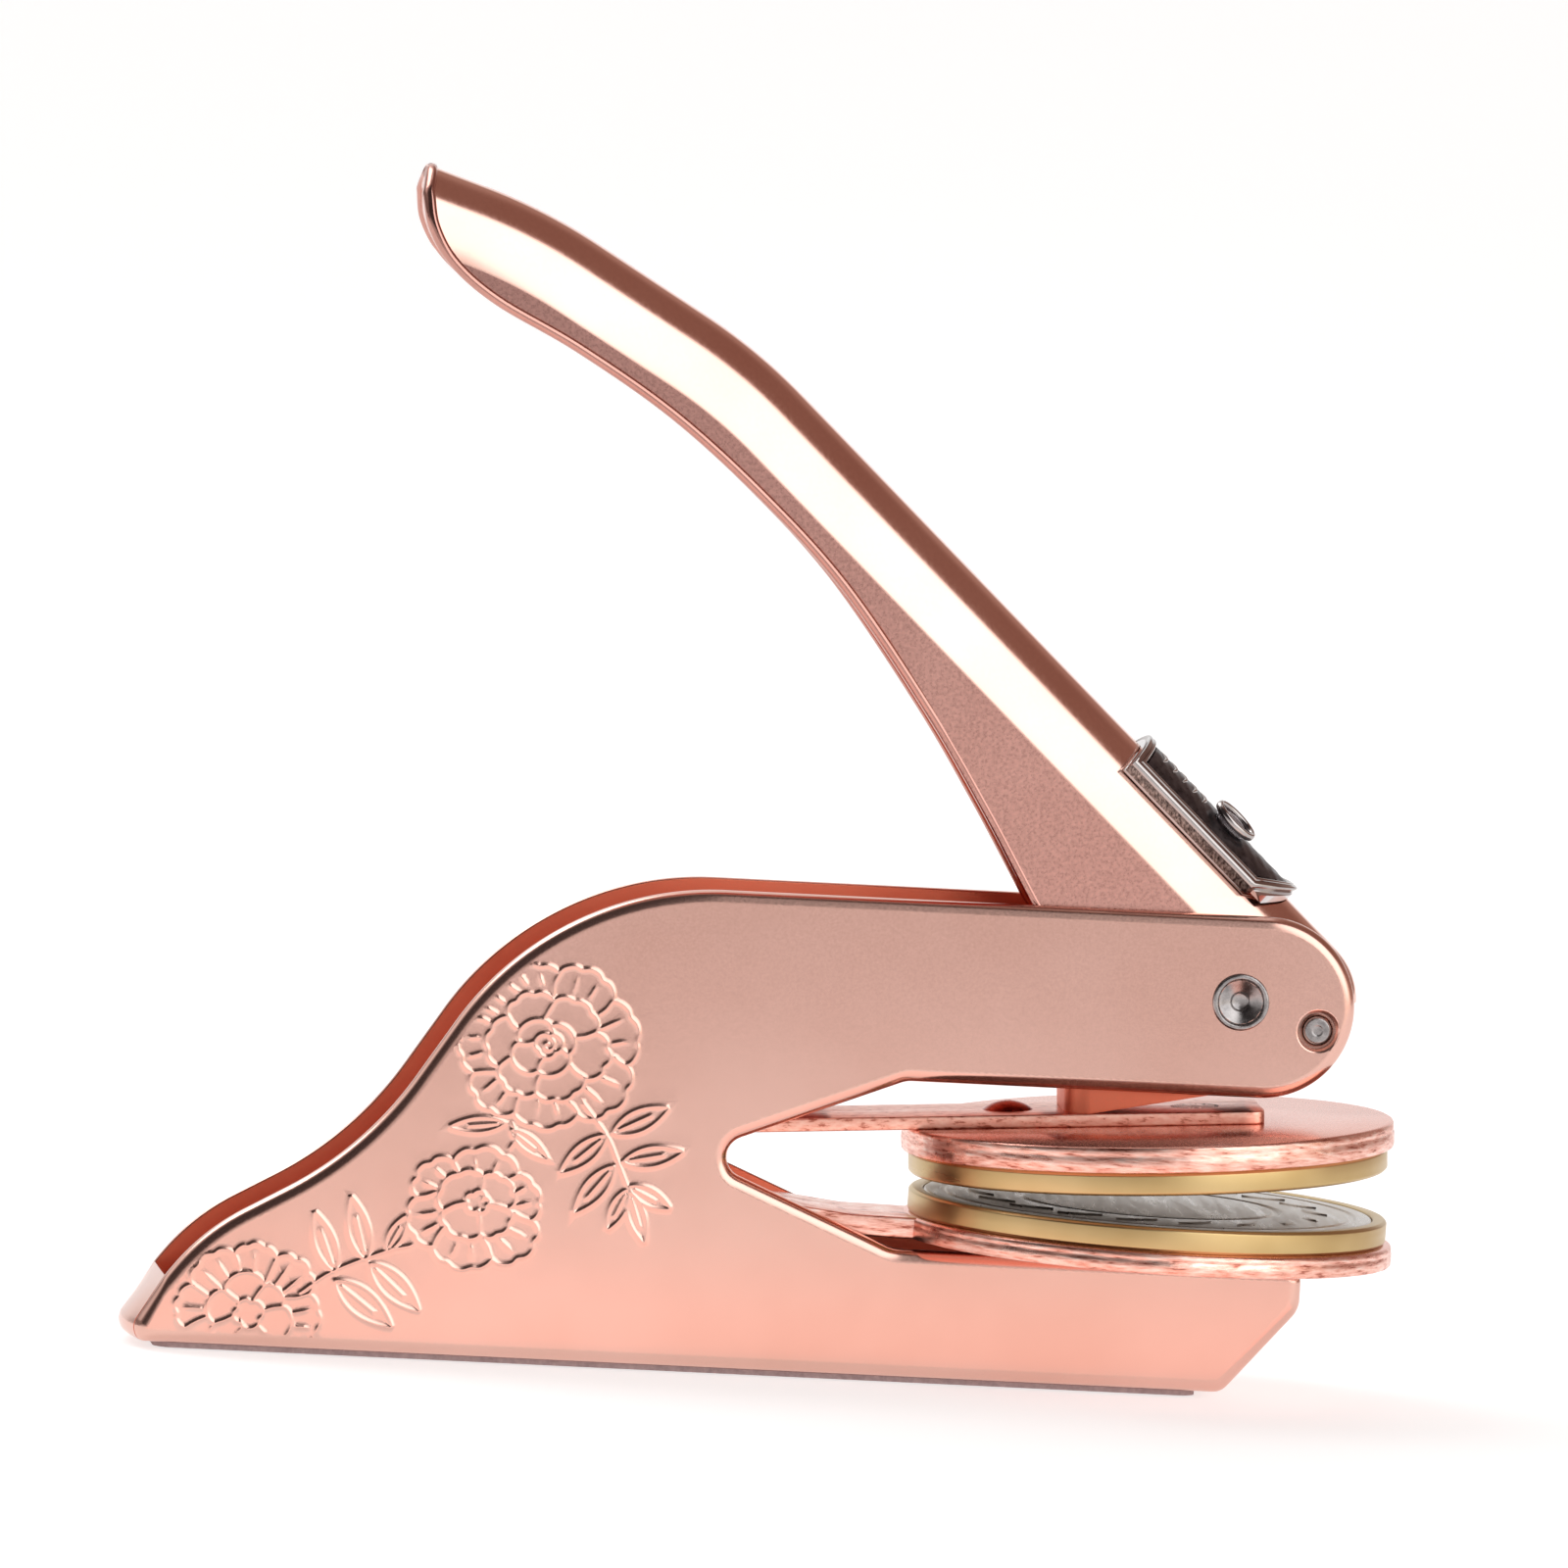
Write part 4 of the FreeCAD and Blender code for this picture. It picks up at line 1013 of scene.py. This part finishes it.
def paint_lever(obj):
    """Matt flanks, a polished crown and a rough cast inside in the darker, redder painted-shade
    plating, by depth below the crown.
    """
    obj.data.materials.clear()
    for material in (rose_lever, rose_crown, rose_inner_shade):
        obj.data.materials.append(material)
    crown = tree_of(resample(crown_line(0.0), 0.2))
    for polygon in obj.data.polygons:
        c = polygon.center / MM
        depth = gap(crown, c.x, c.z)
        if abs(c.y) > crown_half(depth, 0.0) - 0.35 or polygon.normal.x < -0.8:
            polygon.material_index = 1 if depth < CROWN_DEPTH - 0.02 else 0
        else:
            polygon.material_index = 2


lever_outside = build_lever()
paint_lever(lever_outside)
hand_over(join([lever_outside, lever_bead()], "lever_casting"), "lever", "handle")


# ------------------------------------------------------------------------------ pins

def pin_object(name, profile, rounding, centre, node):
    """A pin across the frame, the same at both ends, from half of its profile."""
    near = revolve(rounded_profile(profile, rounding, 4), pin_steel, name + "_a", 72)
    near.data.transform(Matrix.Rotation(math.radians(-90), 4, "X"))
    far = near.copy()
    far.data = near.data.copy()
    bpy.context.scene.collection.objects.link(far)
    far.data.transform(Matrix.Rotation(math.pi, 4, "Z"))
    both = join([near, far], name)
    both.data.transform(Matrix.Translation(Vector((centre[0], 0, centre[1])) * MM))
    finish_mesh(both, pin_steel, 35.0)
    hand_over(both, "frame", node)


pin_object("pivot_rivet_dimpled",
           [(2.3, 0.0), (2.3, 7.98), (3.03, 7.98), (3.03, 8.2), (2.86, 8.37), (2.5, 8.36),
            (2.34, 8.0), (2.16, 7.92), (1.05, 7.42), (0.85, 7.2), (0.0, 7.05)],
           0.12, PIVOT, "pivot_rivet")
pin_object("stop_pin_turned",
           [(1.5, 0.0), (1.5, 7.2), (1.28, 7.42), (0.6, 7.42), (0.5, 7.36), (0.0, 7.34)],
           0.1, STOP, "stop_pin")


# -------------------------------------------------------------------------- die stacks

def die_cup(name, thickness):
    """A brass die: chamfered rim, plain flank and a shallow seat."""
    r = DIE_RADIUS
    profile = [(0.0, 1.2), (23.9, 1.2), (23.9, 0.12), (24.2, 0.0), (25.1, 0.0), (r, 0.3),
               (r, thickness - 0.32), (r - 0.22, thickness - 0.06), (r - 0.3, thickness),
               (0.0, thickness)]
    return revolve(rounded_profile(profile, 0.1, 3), brass, name, 200)


def engraved_insert(name):
    """The engraved die: a turned disc with ring grooves and a plain wreath of leaves."""
    profile = [(0.0, 0.1), (13.2, 0.1), (13.5, 0.32), (13.9, 0.32), (14.2, 0.1), (21.4, 0.1),
               (21.6, 0.3), (22.0, 0.3), (22.2, 0.1), (23.6, 0.1), (23.85, 0.28), (23.85, 1.18),
               (0.0, 1.18)]
    parts = [revolve(rounded_profile(profile, 0.08, 3), zinc, name, 180)]
    leaves, spans = 18, 9
    verts = []
    for i in range(spans + 1):
        t = i / spans
        w = 0.95 * math.sin(math.pi * t) ** 0.8 + 0.02
        x = -2.4 + 4.8 * t
        verts += [(x, u, h) for u, h in ((-w, 0.12), (-w * 0.5, -0.02), (0, -0.07),
                                         (w * 0.5, -0.02), (w, 0.12))]
    for k in range(leaves):
        blade = new_object(name + "_leaf", verts, quads(spans + 1, 5, False), zinc, 60.0)
        blade.data.transform(Matrix.Rotation(2 * math.pi * k / leaves, 4, "Z")
                             @ Matrix.Translation(Vector((17.8, 0, 0)) * MM)
                             @ Matrix.Rotation(math.radians(62), 4, "Z"))
        parts.append(blade)
    return join(parts, name)


def sheared_disc(name, low, high, seed):
    """A blanked disc: a smooth rolled edge above and a rough, slightly wavy sheared band."""
    rng = random.Random(seed)
    r, tall = PAD_RADIUS, high - low
    # Radius, height and roughness of each row, from the bottom to the top.
    rows = [(0.0, low, 0), (r * 0.5, low, 0), (r - 0.45, low, 0), (r - 0.14, low + 0.06, 0.3),
            (r - 0.02, low + 0.22, 0.8), (r, low + tall * 0.35, 1.0),
            (r - 0.02, low + tall * 0.55, 1.0), (r - 0.10, low + tall * 0.62, 0.4),
            (r - 0.06, low + tall * 0.7, 0.2), (r - 0.06, high - 0.4, 0),
            (r - 0.16, high - 0.15, 0), (r - 0.42, high, 0), (r * 0.5, high, 0), (0.0, high, 0)]
    phase = [rng.uniform(0, 6.28) for _ in range(12)]

    def wobble(row, a):
        wave = sum(math.sin(a * (17 + 23 * q) + phase[q]) / (1 + q) for q in range(8))
        return row[2] * 0.022 * wave, row[2] * 0.03 * math.sin(a * 41 + phase[9])

    disc = new_object(name, *lathe(rows, 360, wobble), rose_sheet, 50.0)
    disc.data.materials.append(rose_satin)
    for polygon in disc.data.polygons:
        if abs(polygon.normal.z) > 0.8:
            polygon.material_index = 1
    return disc


hand_over(in_stack(die_cup("upper_die_ring", 2.45), UPPER), "upper_jaw", "upper_die_cup")
hand_over(in_stack(die_cup("lower_die_ring", 2.6), LOWER, True), "frame", "lower_die_cup")
hand_over(in_stack(engraved_insert("upper_engraving"), UPPER), "upper_jaw", "upper_die_insert")
hand_over(in_stack(engraved_insert("lower_engraving"), LOWER, True), "frame",
          "lower_die_insert")
hand_over(in_stack(sheared_disc("upper_pad_blank", 2.45, 5.3, 3), UPPER), "upper_jaw",
          "upper_pad")


# --------------------------------------------------------------------------- die clip

def strip(name, corners, thickness, material, bevel, end_round=0.0):
    """A bent strip along (x, z, radius) corners with rounded edges."""
    path = resample(corner_path(corners, 0.5), 1.2)
    wide, high = CLIP_HALF - bevel, thickness / 2 - bevel
    section = round_corners([(wide, high, bevel, 0), (-wide, high, bevel, 90),
                             (-wide, -high, bevel, 180), (wide, -high, bevel, 270)], 4)
    length = [0.0]
    for a, b in zip(path, path[1:]):
        length.append(length[-1] + (b - a).length)
    verts = []
    for p, n, run in zip(path, path_normals(path), length):
        left = length[-1] - run
        squeeze = 1.0
        if left < end_round:
            t = 1 - left / end_round
            inset = end_round * (1 - math.sqrt(max(0.0, 1 - t * t)))
            squeeze = (CLIP_HALF - inset) / CLIP_HALF
        verts += [(p.x + n.x * w, u * squeeze, p.y + n.y * w) for u, w in section]
    return new_object(name, verts, capped(len(path), len(section)), material, 40.0)


def stack_point(stack, x, height, radius=0):
    """An (x, z, radius) corner at a height in a die stack's own tilted axes."""
    face, tilt = stack
    t = math.radians(tilt)
    return x, face.z + height / math.cos(t) + (x - face.x) * math.tan(t), radius


leaf_mid, plate_mid = 6.0, -3.75
leaf_strip = strip("leaf_strip", [
    (-24.0, 24.2, 0), (-10.0, 24.2, 6.0), stack_point(UPPER, -3.2, leaf_mid, 6.0)]
    + [stack_point(UPPER, x, leaf_mid) for x in (51.3, 51.7, 52.0, 52.25, 52.4, 52.5)],
    1.4, spring_steel, 0.22, 1.2)
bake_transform(leaf_strip)
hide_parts("clip_leaf_spring")

lower_pad = in_stack(sheared_disc("lower_plate_blank", -4.9, -2.6, 11), LOWER)
lower_arm = strip("lower_arm", [
    (-24.0, 18.6, 0), (-9.0, 18.6, 8.0), stack_point(LOWER, 9.0, plate_mid, 8.0),
    stack_point(LOWER, 26.0, plate_mid)], 2.26, rose_sheet, 0.3)
hand_over(join([lower_pad, lower_arm], "lower_plate"), "frame", "clip_lower_plate")


def pressure_block():
    """The block on the leaf: a foot with round heel corners and a relieved toe, and a neck."""
    base, shoulder, top = 6.7, 10.2, 14.3
    heel, toe = -9.3, 7.7
    heel_round, toe_round = 2.6, 0.6
    side = 6.0 - heel_round
    plan = round_corners([(toe - toe_round, 5.4, toe_round, 0),
                          (heel + heel_round, side, heel_round, 90),
                          (heel + heel_round, -side, heel_round, 180),
                          (toe - toe_round, -5.4, toe_round, 270)], 8)
    levels, n = 10, len(plan)

    def floor_height(x):
        return base + 2.4 * ((max(0.0, x - (toe - 6.0)) / 6.0) ** 2)

    verts = [(x, y, floor_height(x) * (1 - k / levels) + shoulder * (k / levels))
             for k in range(levels + 1) for x, y in plan]
    faces = quads(levels + 1, n) + [tuple(levels * n + i for i in range(n))]
    for i in range(n // 2 - 1):
        faces.append((i, n - 1 - i, n - 2 - i, i + 1))
    foot = new_object("block_foot", verts, faces, rose_inner_shade, 40.0)
    bevel_edges(foot, 0.22, 40)

    r = 1.5
    neck = round_corners([(4.5 - r, 4.1 - r, r, 0), (-6.5 + r, 4.1 - r, r, 90),
                          (-6.5 + r, -4.1 + r, r, 180), (4.5 - r, -4.1 + r, r, 270)], 6)
    m = len(neck)
    verts = [(x, y, z) for z in (shoulder - 0.4, top) for x, y in neck]
    faces = [tuple(reversed(range(m))), tuple(m + i for i in range(m))] + quads(2, m)
    column = new_object("block_neck", verts, faces, rose_inner_shade, 40.0)
    bevel_edges(column, 0.2, 50)
    return join([foot, column], "pressure_block_cast")


hand_over(in_stack(pressure_block(), UPPER), "upper_jaw", "pressure_block")


def domed_rivet(name, radius, height, bottom, x):
    """A rivet's domed head on the leaf."""
    ball = (radius ** 2 + height ** 2) / (2 * height)
    rows = [(0.0, bottom - 0.02), (radius, bottom - 0.02), (radius, bottom)]
    for k in range(1, 13):
        r = radius * (1 - k / 12)
        rows.append((r, bottom + height - ball + math.sqrt(ball ** 2 - r ** 2)))
    head = revolve(rows, rivet_red, name, 64)
    head.data.transform(Matrix.Translation(Vector((x, 0, 0)) * MM))
    return in_stack(head, UPPER)


hand_over(domed_rivet("leaf_rivet_head", 2.7, 0.95, 6.7, -14.9), "upper_jaw", "leaf_rivet")


# ---------------------------------------------------------------------------- badge
# The badge is built in local axes on the crown: x along the crown, z out of it.

BADGE_START, BADGE_END, HALF_ANGLE = 37.4, 60.2, 53.0
BADGE_RADIUS = 7.0
INLAY_RADIUS = 7.36
crown_start = Vector((-5.55, 0, 108.2))
crown_ahead = (Vector((62.1, 0, 45.32)) - crown_start).normalized()
crown_out = Vector((-crown_ahead.z, 0, crown_ahead.x))
crown_datum = crown_start + crown_ahead * ((10.0 - crown_start.x) / crown_ahead.x)
crown_matrix = Matrix.Translation((crown_datum - crown_out * LEVER_HALF) * MM) @ Matrix((
    (crown_ahead.x, 0, crown_out.x, 0), (0, 1, 0, 0), (crown_ahead.z, 0, crown_out.z, 0),
    (0, 0, 0, 1)))


def badge_outline(inset, end_inset, count=30):
    """The badge's plan as (station, arc length) pairs: square above, a blunt shield below."""
    half = math.radians(HALF_ANGLE) * BADGE_RADIUS - inset
    start = BADGE_START + end_inset
    toe = BADGE_END - 4.4 - end_inset * 0.35
    reach = BADGE_END - end_inset - toe
    points = [(start, -half), (start, half)]
    for k in range(count + 1):
        t = 1 - 2 * k / count
        points.append((toe + reach * (1 - abs(t) ** 1.75), half * t))
    return points


def wrap(station, arc, radius):
    """A point of the badge wrapped on the crown."""
    a = arc / BADGE_RADIUS
    return (station, radius * math.sin(a), radius * math.cos(a))


def badge_rim():
    """A raised bright rim with a step on its outside and a groove on its top."""
    # Inset at the sides, inset at the ends, and radius about the crown's axis.
    section = [(-0.30, 0.30, 5.66), (-0.60, 0.12, 5.70), (-0.66, 0.02, 5.80), (-0.64, 0.0, 5.92),
               (-0.56, 0.08, 6.00), (-0.52, 0.12, 6.08), (-0.30, 0.12, 7.36), (-0.26, 0.04, 7.46),
               (-0.16, 0.0, 7.62), (0.0, 0.06, 7.76), (0.16, 0.2, 7.8), (0.34, 0.36, 7.78),
               (0.42, 0.44, 7.66), (0.56, 0.56, 7.66), (0.64, 0.64, 7.78), (0.78, 0.78, 7.8),
               (0.92, 0.92, 7.74), (1.02, 1.02, 7.6), (1.3, 1.3, 7.3), (1.34, 1.34, 6.9),
               (1.34, 1.34, 6.3)]
    verts = []
    for inset, end_inset, radius in section:
        loop = badge_outline(inset, end_inset)
        for (s0, a0), (s1, a1) in zip(loop, loop[1:] + loop[:1]):
            parts = 44 if abs(s1 - s0) > 8 else (14 if abs(a1 - a0) > 4 else 1)
            verts += [wrap(s0 + (s1 - s0) * q / parts, a0 + (a1 - a0) * q / parts, radius)
                      for q in range(parts)]
    k = len(section)
    rim = new_object("badge_rim", verts, quads(k, len(verts) // k, loop_rows=True),
                     badge_metal, 40.0)
    rim.data.materials.append(badge_side)
    for polygon in rim.data.polygons:
        c = polygon.center / MM
        if 6.10 < math.hypot(c.y, c.z) < 7.34 and abs(math.atan2(c.y, c.z)) > math.radians(53.5):
            polygon.material_index = 1
    return rim


def inlay_relief(x, y):
    """A plain basket-weave relief for the inlay."""
    u, w = (x - 37) * 1.9, y * 1.9
    return 0.05 * math.sin(u * 1.7 + 0.6 * math.sin(w)) * math.cos(w * 1.6)


def badge_inlay():
    """The woven inlay face with a plain double row of raised curls."""
    outline = badge_outline(1.3, 1.3)
    pts = resample(outline + outline[:1], 0.4)[:-1]
    points, edges = [], []
    add_line(points, edges, pts, True)
    xs = [p.x for p in pts]
    ys = [p.y for p in pts]
    for x in np.arange(min(xs), max(xs), 0.5):
        for y in np.arange(min(ys), max(ys), 0.5):
            if inside(pts, x, y) and min((Vector((x, y)) - p).length for p in pts) > 0.3:
                points.append(Vector((float(x), float(y))))
    v, f = triangulate(points, edges)
    verts = [wrap(p.x, p.y, INLAY_RADIUS + inlay_relief(p.x, p.y)) for p in v]
    parts = [new_object("badge_inlay_face", verts, [tuple(t) for t in f], dark_inlay, 40.0)]
    ridge = ((-0.24, -0.04), (-0.13, 0.13), (0.0, 0.18), (0.13, 0.13), (0.24, -0.04))
    for k in range(5):
        x = 39.6 + k * 1.5
        for side in (-1, 1):
            path = smooth_path([(x, side * 0.35), (x + 0.7, side * 1.5), (x + 0.4, side * 2.9)],
                               5)
            verts = []
            for i, (p, n) in enumerate(zip(path, path_normals(path))):
                taper = math.sin(math.pi * (i + 0.6) / (len(path) + 0.2))
                for u, h in ridge:
                    q = p + n * u * taper
                    verts.append(wrap(q.x, q.y, 7.38 + h * taper))
            parts.append(new_object("badge_scroll", verts, quads(len(path), 5, False),
                                    badge_metal, 60.0))
    return join(parts, "badge_inlay_relief")


def oval_torus(name, station, major, minor, tube, height):
    verts = []
    around, across = 64, 14
    for i in range(around):
        a = 2 * math.pi * i / around
        for j in range(across):
            b = 2 * math.pi * j / across
            grow = tube * math.cos(b)
            verts.append((station + (major + grow) * math.cos(a), (minor + grow) * math.sin(a),
                          height + tube * 1.35 * math.sin(b)))
    return new_object(name, verts, quads(around, across, loop_rows=True), badge_metal, 60.0)


def oval_cabochon(name, station, major, minor, low, height):
    verts = []
    rings, count = 10, 48
    for i in range(rings):
        t = math.pi / 2 * i / rings
        for j in range(count):
            a = 2 * math.pi * j / count
            verts.append((station + major * math.cos(t) * math.cos(a),
                          minor * math.cos(t) * math.sin(a), low + height * math.sin(t)))
    top, last = len(verts), (rings - 1) * count
    verts.append((station, 0, low + height))
    faces = quads(rings, count)
    faces += [(last + j, last + (j + 1) % count, top) for j in range(count)]
    faces.append(tuple(reversed(range(count))))
    return new_object(name, verts, faces, gem, 60.0)


STONE_TILT = Matrix.Rotation(math.radians(16), 4, "X")
rim = badge_rim()
inlay = badge_inlay()
bezel = oval_torus("badge_bezel_ring", 50.0, 2.4, 1.75, 0.34, 8.3)
cabochon = oval_cabochon("badge_cabochon", 50.0, 2.1, 1.45, 7.45, 1.15)
for stone in (bezel, cabochon):
    stone.data.transform(STONE_TILT)
for piece, node, slot in ((rim, "badge_frame", "chrome"),
                          (inlay, "badge_inlay", "dark_inlay"),
                          (bezel, "badge_bezel", "chrome"),
                          (cabochon, "badge_gem", "gem_glass")):
    piece.data.transform(crown_matrix)
    hand_over(piece, "lever", node)


# -------------------------------------------------------------- finishes of CAD nodes

FINISHES = {
    "base_pad": rubber, "pivot_spacer": pin_steel, "clip_rear_rivets": rivet_red,
    "clip_screws": pin_steel, "leaf_flush_rivet": pin_steel, "pusher_pin": pin_steel,
    "badge_plate": chrome, "badge_studs": chrome, "clip_spacer": pin_steel,
}
for node, material in FINISHES.items():
    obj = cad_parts[node]
    if not obj.data.materials:
        obj.data.materials.append(material)
    for material_slot in obj.material_slots:
        material_slot.material = material


# ------------------------------------------------------------------ floor, light, camera

def make_floor():
    """A pale table with its front edge just ahead of the part."""
    m = Nodes("white_floor", Roughness=0.75, Emission_Strength=0.62,
              Emission_Color=(1.0, 1.0, 1.0, 1.0))
    m.colour(m.ramp(m.noise(2.0, 2.0), [(0.3, (0.60,) * 3), (0.7, (0.62,) * 3)]))
    mesh = bpy.data.meshes.new("floor")
    z = -0.0002
    mesh.from_pydata([(-3.0, -0.30, z), (3.0, -0.30, z), (3.0, 6.0, z), (-3.0, 6.0, z)], [],
                     [(0, 1, 2, 3)])
    floor = bpy.data.objects.new("floor", mesh)
    bpy.context.scene.collection.objects.link(floor)
    mesh.materials.append(m.material)


make_floor()


def studio_world():
    """Soft studio surroundings: soft fields of light by direction.

    Each field is a colour and the cones it lies in; a cone is (axis, start, full), where
    start and full are the cosines at which it fades in and is complete."""
    low_front = [((0, 0, -1), -0.20, -0.04), ((0, -1, 0), 0.0, 0.3)]
    fields = [
        ((0.26, 0.22, 0.21), [((-1, 0, 0), 0.1, 0.5)]),                     # left
        ((0.255, 0.14, 0.112), [((0.66, -0.05, 0.75), 0.70, 0.95)]),        # above the crown
        ((0.06, 0.05, 0.05), [((0, -1, 0), 0.0, 0.3), ((0, 0, 1), 0.05, 0.2),
                              ((-1, 0, 0), -0.30, -0.12)]),                 # dark, front
        ((0.95, 0.92, 0.91), [((-1, 0, 0), -0.20, -0.11), ((0, 0, 1), 0.25, 0.45),
                              ((0, 1, 0), -0.05, 0.15)]),                   # top left
        ((0.69, 0.66, 0.655), low_front),
        ((1.25, 1.12, 0.98), [((0.80, -0.60, 0.0), 0.80, 0.92)]),           # right
        ((2.1, 2.1, 2.1), [((0, -1, 0), 0.38, 0.46), ((1, 0, 0), 0.12, 0.22),
                           ((0, 0, 1), 0.0, 0.05)]),                        # front panel
        ((1.0, 1.0, 1.0), [((0, 0, -1), -0.60, -0.50), ((0, 1, 0), 0.78, 0.90)]),  # back
    ]
    world = bpy.data.worlds.new("studio")
    bpy.context.scene.world = world
    world.use_nodes = True
    nodes, links = world.node_tree.nodes, world.node_tree.links
    nodes.clear()
    output = nodes.new("ShaderNodeOutputWorld")
    background = nodes.new("ShaderNodeBackground")
    direction = nodes.new("ShaderNodeTexCoord").outputs["Generated"]
    links.new(background.outputs["Background"], output.inputs["Surface"])

    def cone(axis, start, full):
        """1 where the direction lies within a cone round an axis, fading to 0 outside it."""
        dot = nodes.new("ShaderNodeVectorMath")
        dot.operation = "DOT_PRODUCT"
        links.new(direction, dot.inputs[0])
        dot.inputs[1].default_value = Vector(axis).normalized()
        ease = nodes.new("ShaderNodeMapRange")
        ease.interpolation_type = "SMOOTHSTEP"
        ease.inputs["From Min"].default_value = start
        ease.inputs["From Max"].default_value = full
        links.new(dot.outputs["Value"], ease.inputs["Value"])
        return ease.outputs["Result"]

    picture = None
    for colour, cones in fields:
        mask = cone(*cones[0])
        for other in cones[1:]:
            both = nodes.new("ShaderNodeMath")
            both.operation = "MULTIPLY"
            links.new(mask, both.inputs[0])
            links.new(cone(*other), both.inputs[1])
            mask = both.outputs[0]
        paint = nodes.new("ShaderNodeMix")
        paint.data_type = "RGBA"
        links.new(mask, paint.inputs[0])
        if picture is None:
            paint.inputs[6].default_value = (0.40, 0.26, 0.22, 1.0)
        else:
            links.new(picture, paint.inputs[6])
        paint.inputs[7].default_value = colour + (1.0,)
        picture = paint.outputs[2]
    links.new(picture, background.inputs["Color"])
    background.inputs["Strength"].default_value = 1.0


studio_world()


def area_light(name, location, target, size, power, colour=(1, 1, 1)):
    light = bpy.data.lights.new(name, "AREA")
    light.shape = "RECTANGLE"
    light.size, light.size_y = size
    light.energy = power
    light.color = colour
    obj = bpy.data.objects.new(name, light)
    obj.location = location
    direction = Vector(target) - Vector(location)
    obj.rotation_euler = direction.to_track_quat("-Z", "Y").to_euler()
    bpy.context.scene.collection.objects.link(obj)
    return obj


area_light("top_soft", (-0.45, 0.45, 0.8), (0, 0, 0.05), (0.6, 0.5), 3.0)
card = area_light("bounce_card", (-0.005, -0.06, 0.0006), (-0.005, -0.06, 1.0), (0.17, 0.08),
                  0.013, (1.0, 0.22, 0.04))
card.visible_camera = False


def make_camera(azimuth, elevation, roll, target, distance, view_width):
    """A distant camera; angles in degrees, and the width it sees at the target in metres."""
    azimuth, elevation, roll = (math.radians(a) for a in (azimuth, elevation, roll))
    data = bpy.data.cameras.new("camera")
    camera = bpy.data.objects.new("camera", data)
    bpy.context.scene.collection.objects.link(camera)
    bpy.context.scene.camera = camera
    back = Vector((math.sin(azimuth) * math.cos(elevation),
                   -math.cos(azimuth) * math.cos(elevation), math.sin(elevation)))
    level = Vector((math.cos(azimuth), math.sin(azimuth), 0.0))
    upright = back.cross(level)
    right = level * math.cos(roll) + upright * math.sin(roll)
    up = upright * math.cos(roll) - level * math.sin(roll)
    camera.location = Vector(target) + back * distance
    camera.rotation_euler = Matrix(tuple(zip(right, up, back))).to_euler()
    data.sensor_width = 36.0
    data.lens = data.sensor_width * distance / view_width
    data.clip_start = 0.05
    data.clip_end = 40.0


make_camera(-6.0, 5.5, 3.4, (-0.00015, 0.0, 0.0623), 4.0, 0.1659)
bpy.context.scene.view_settings.view_transform = "Standard"
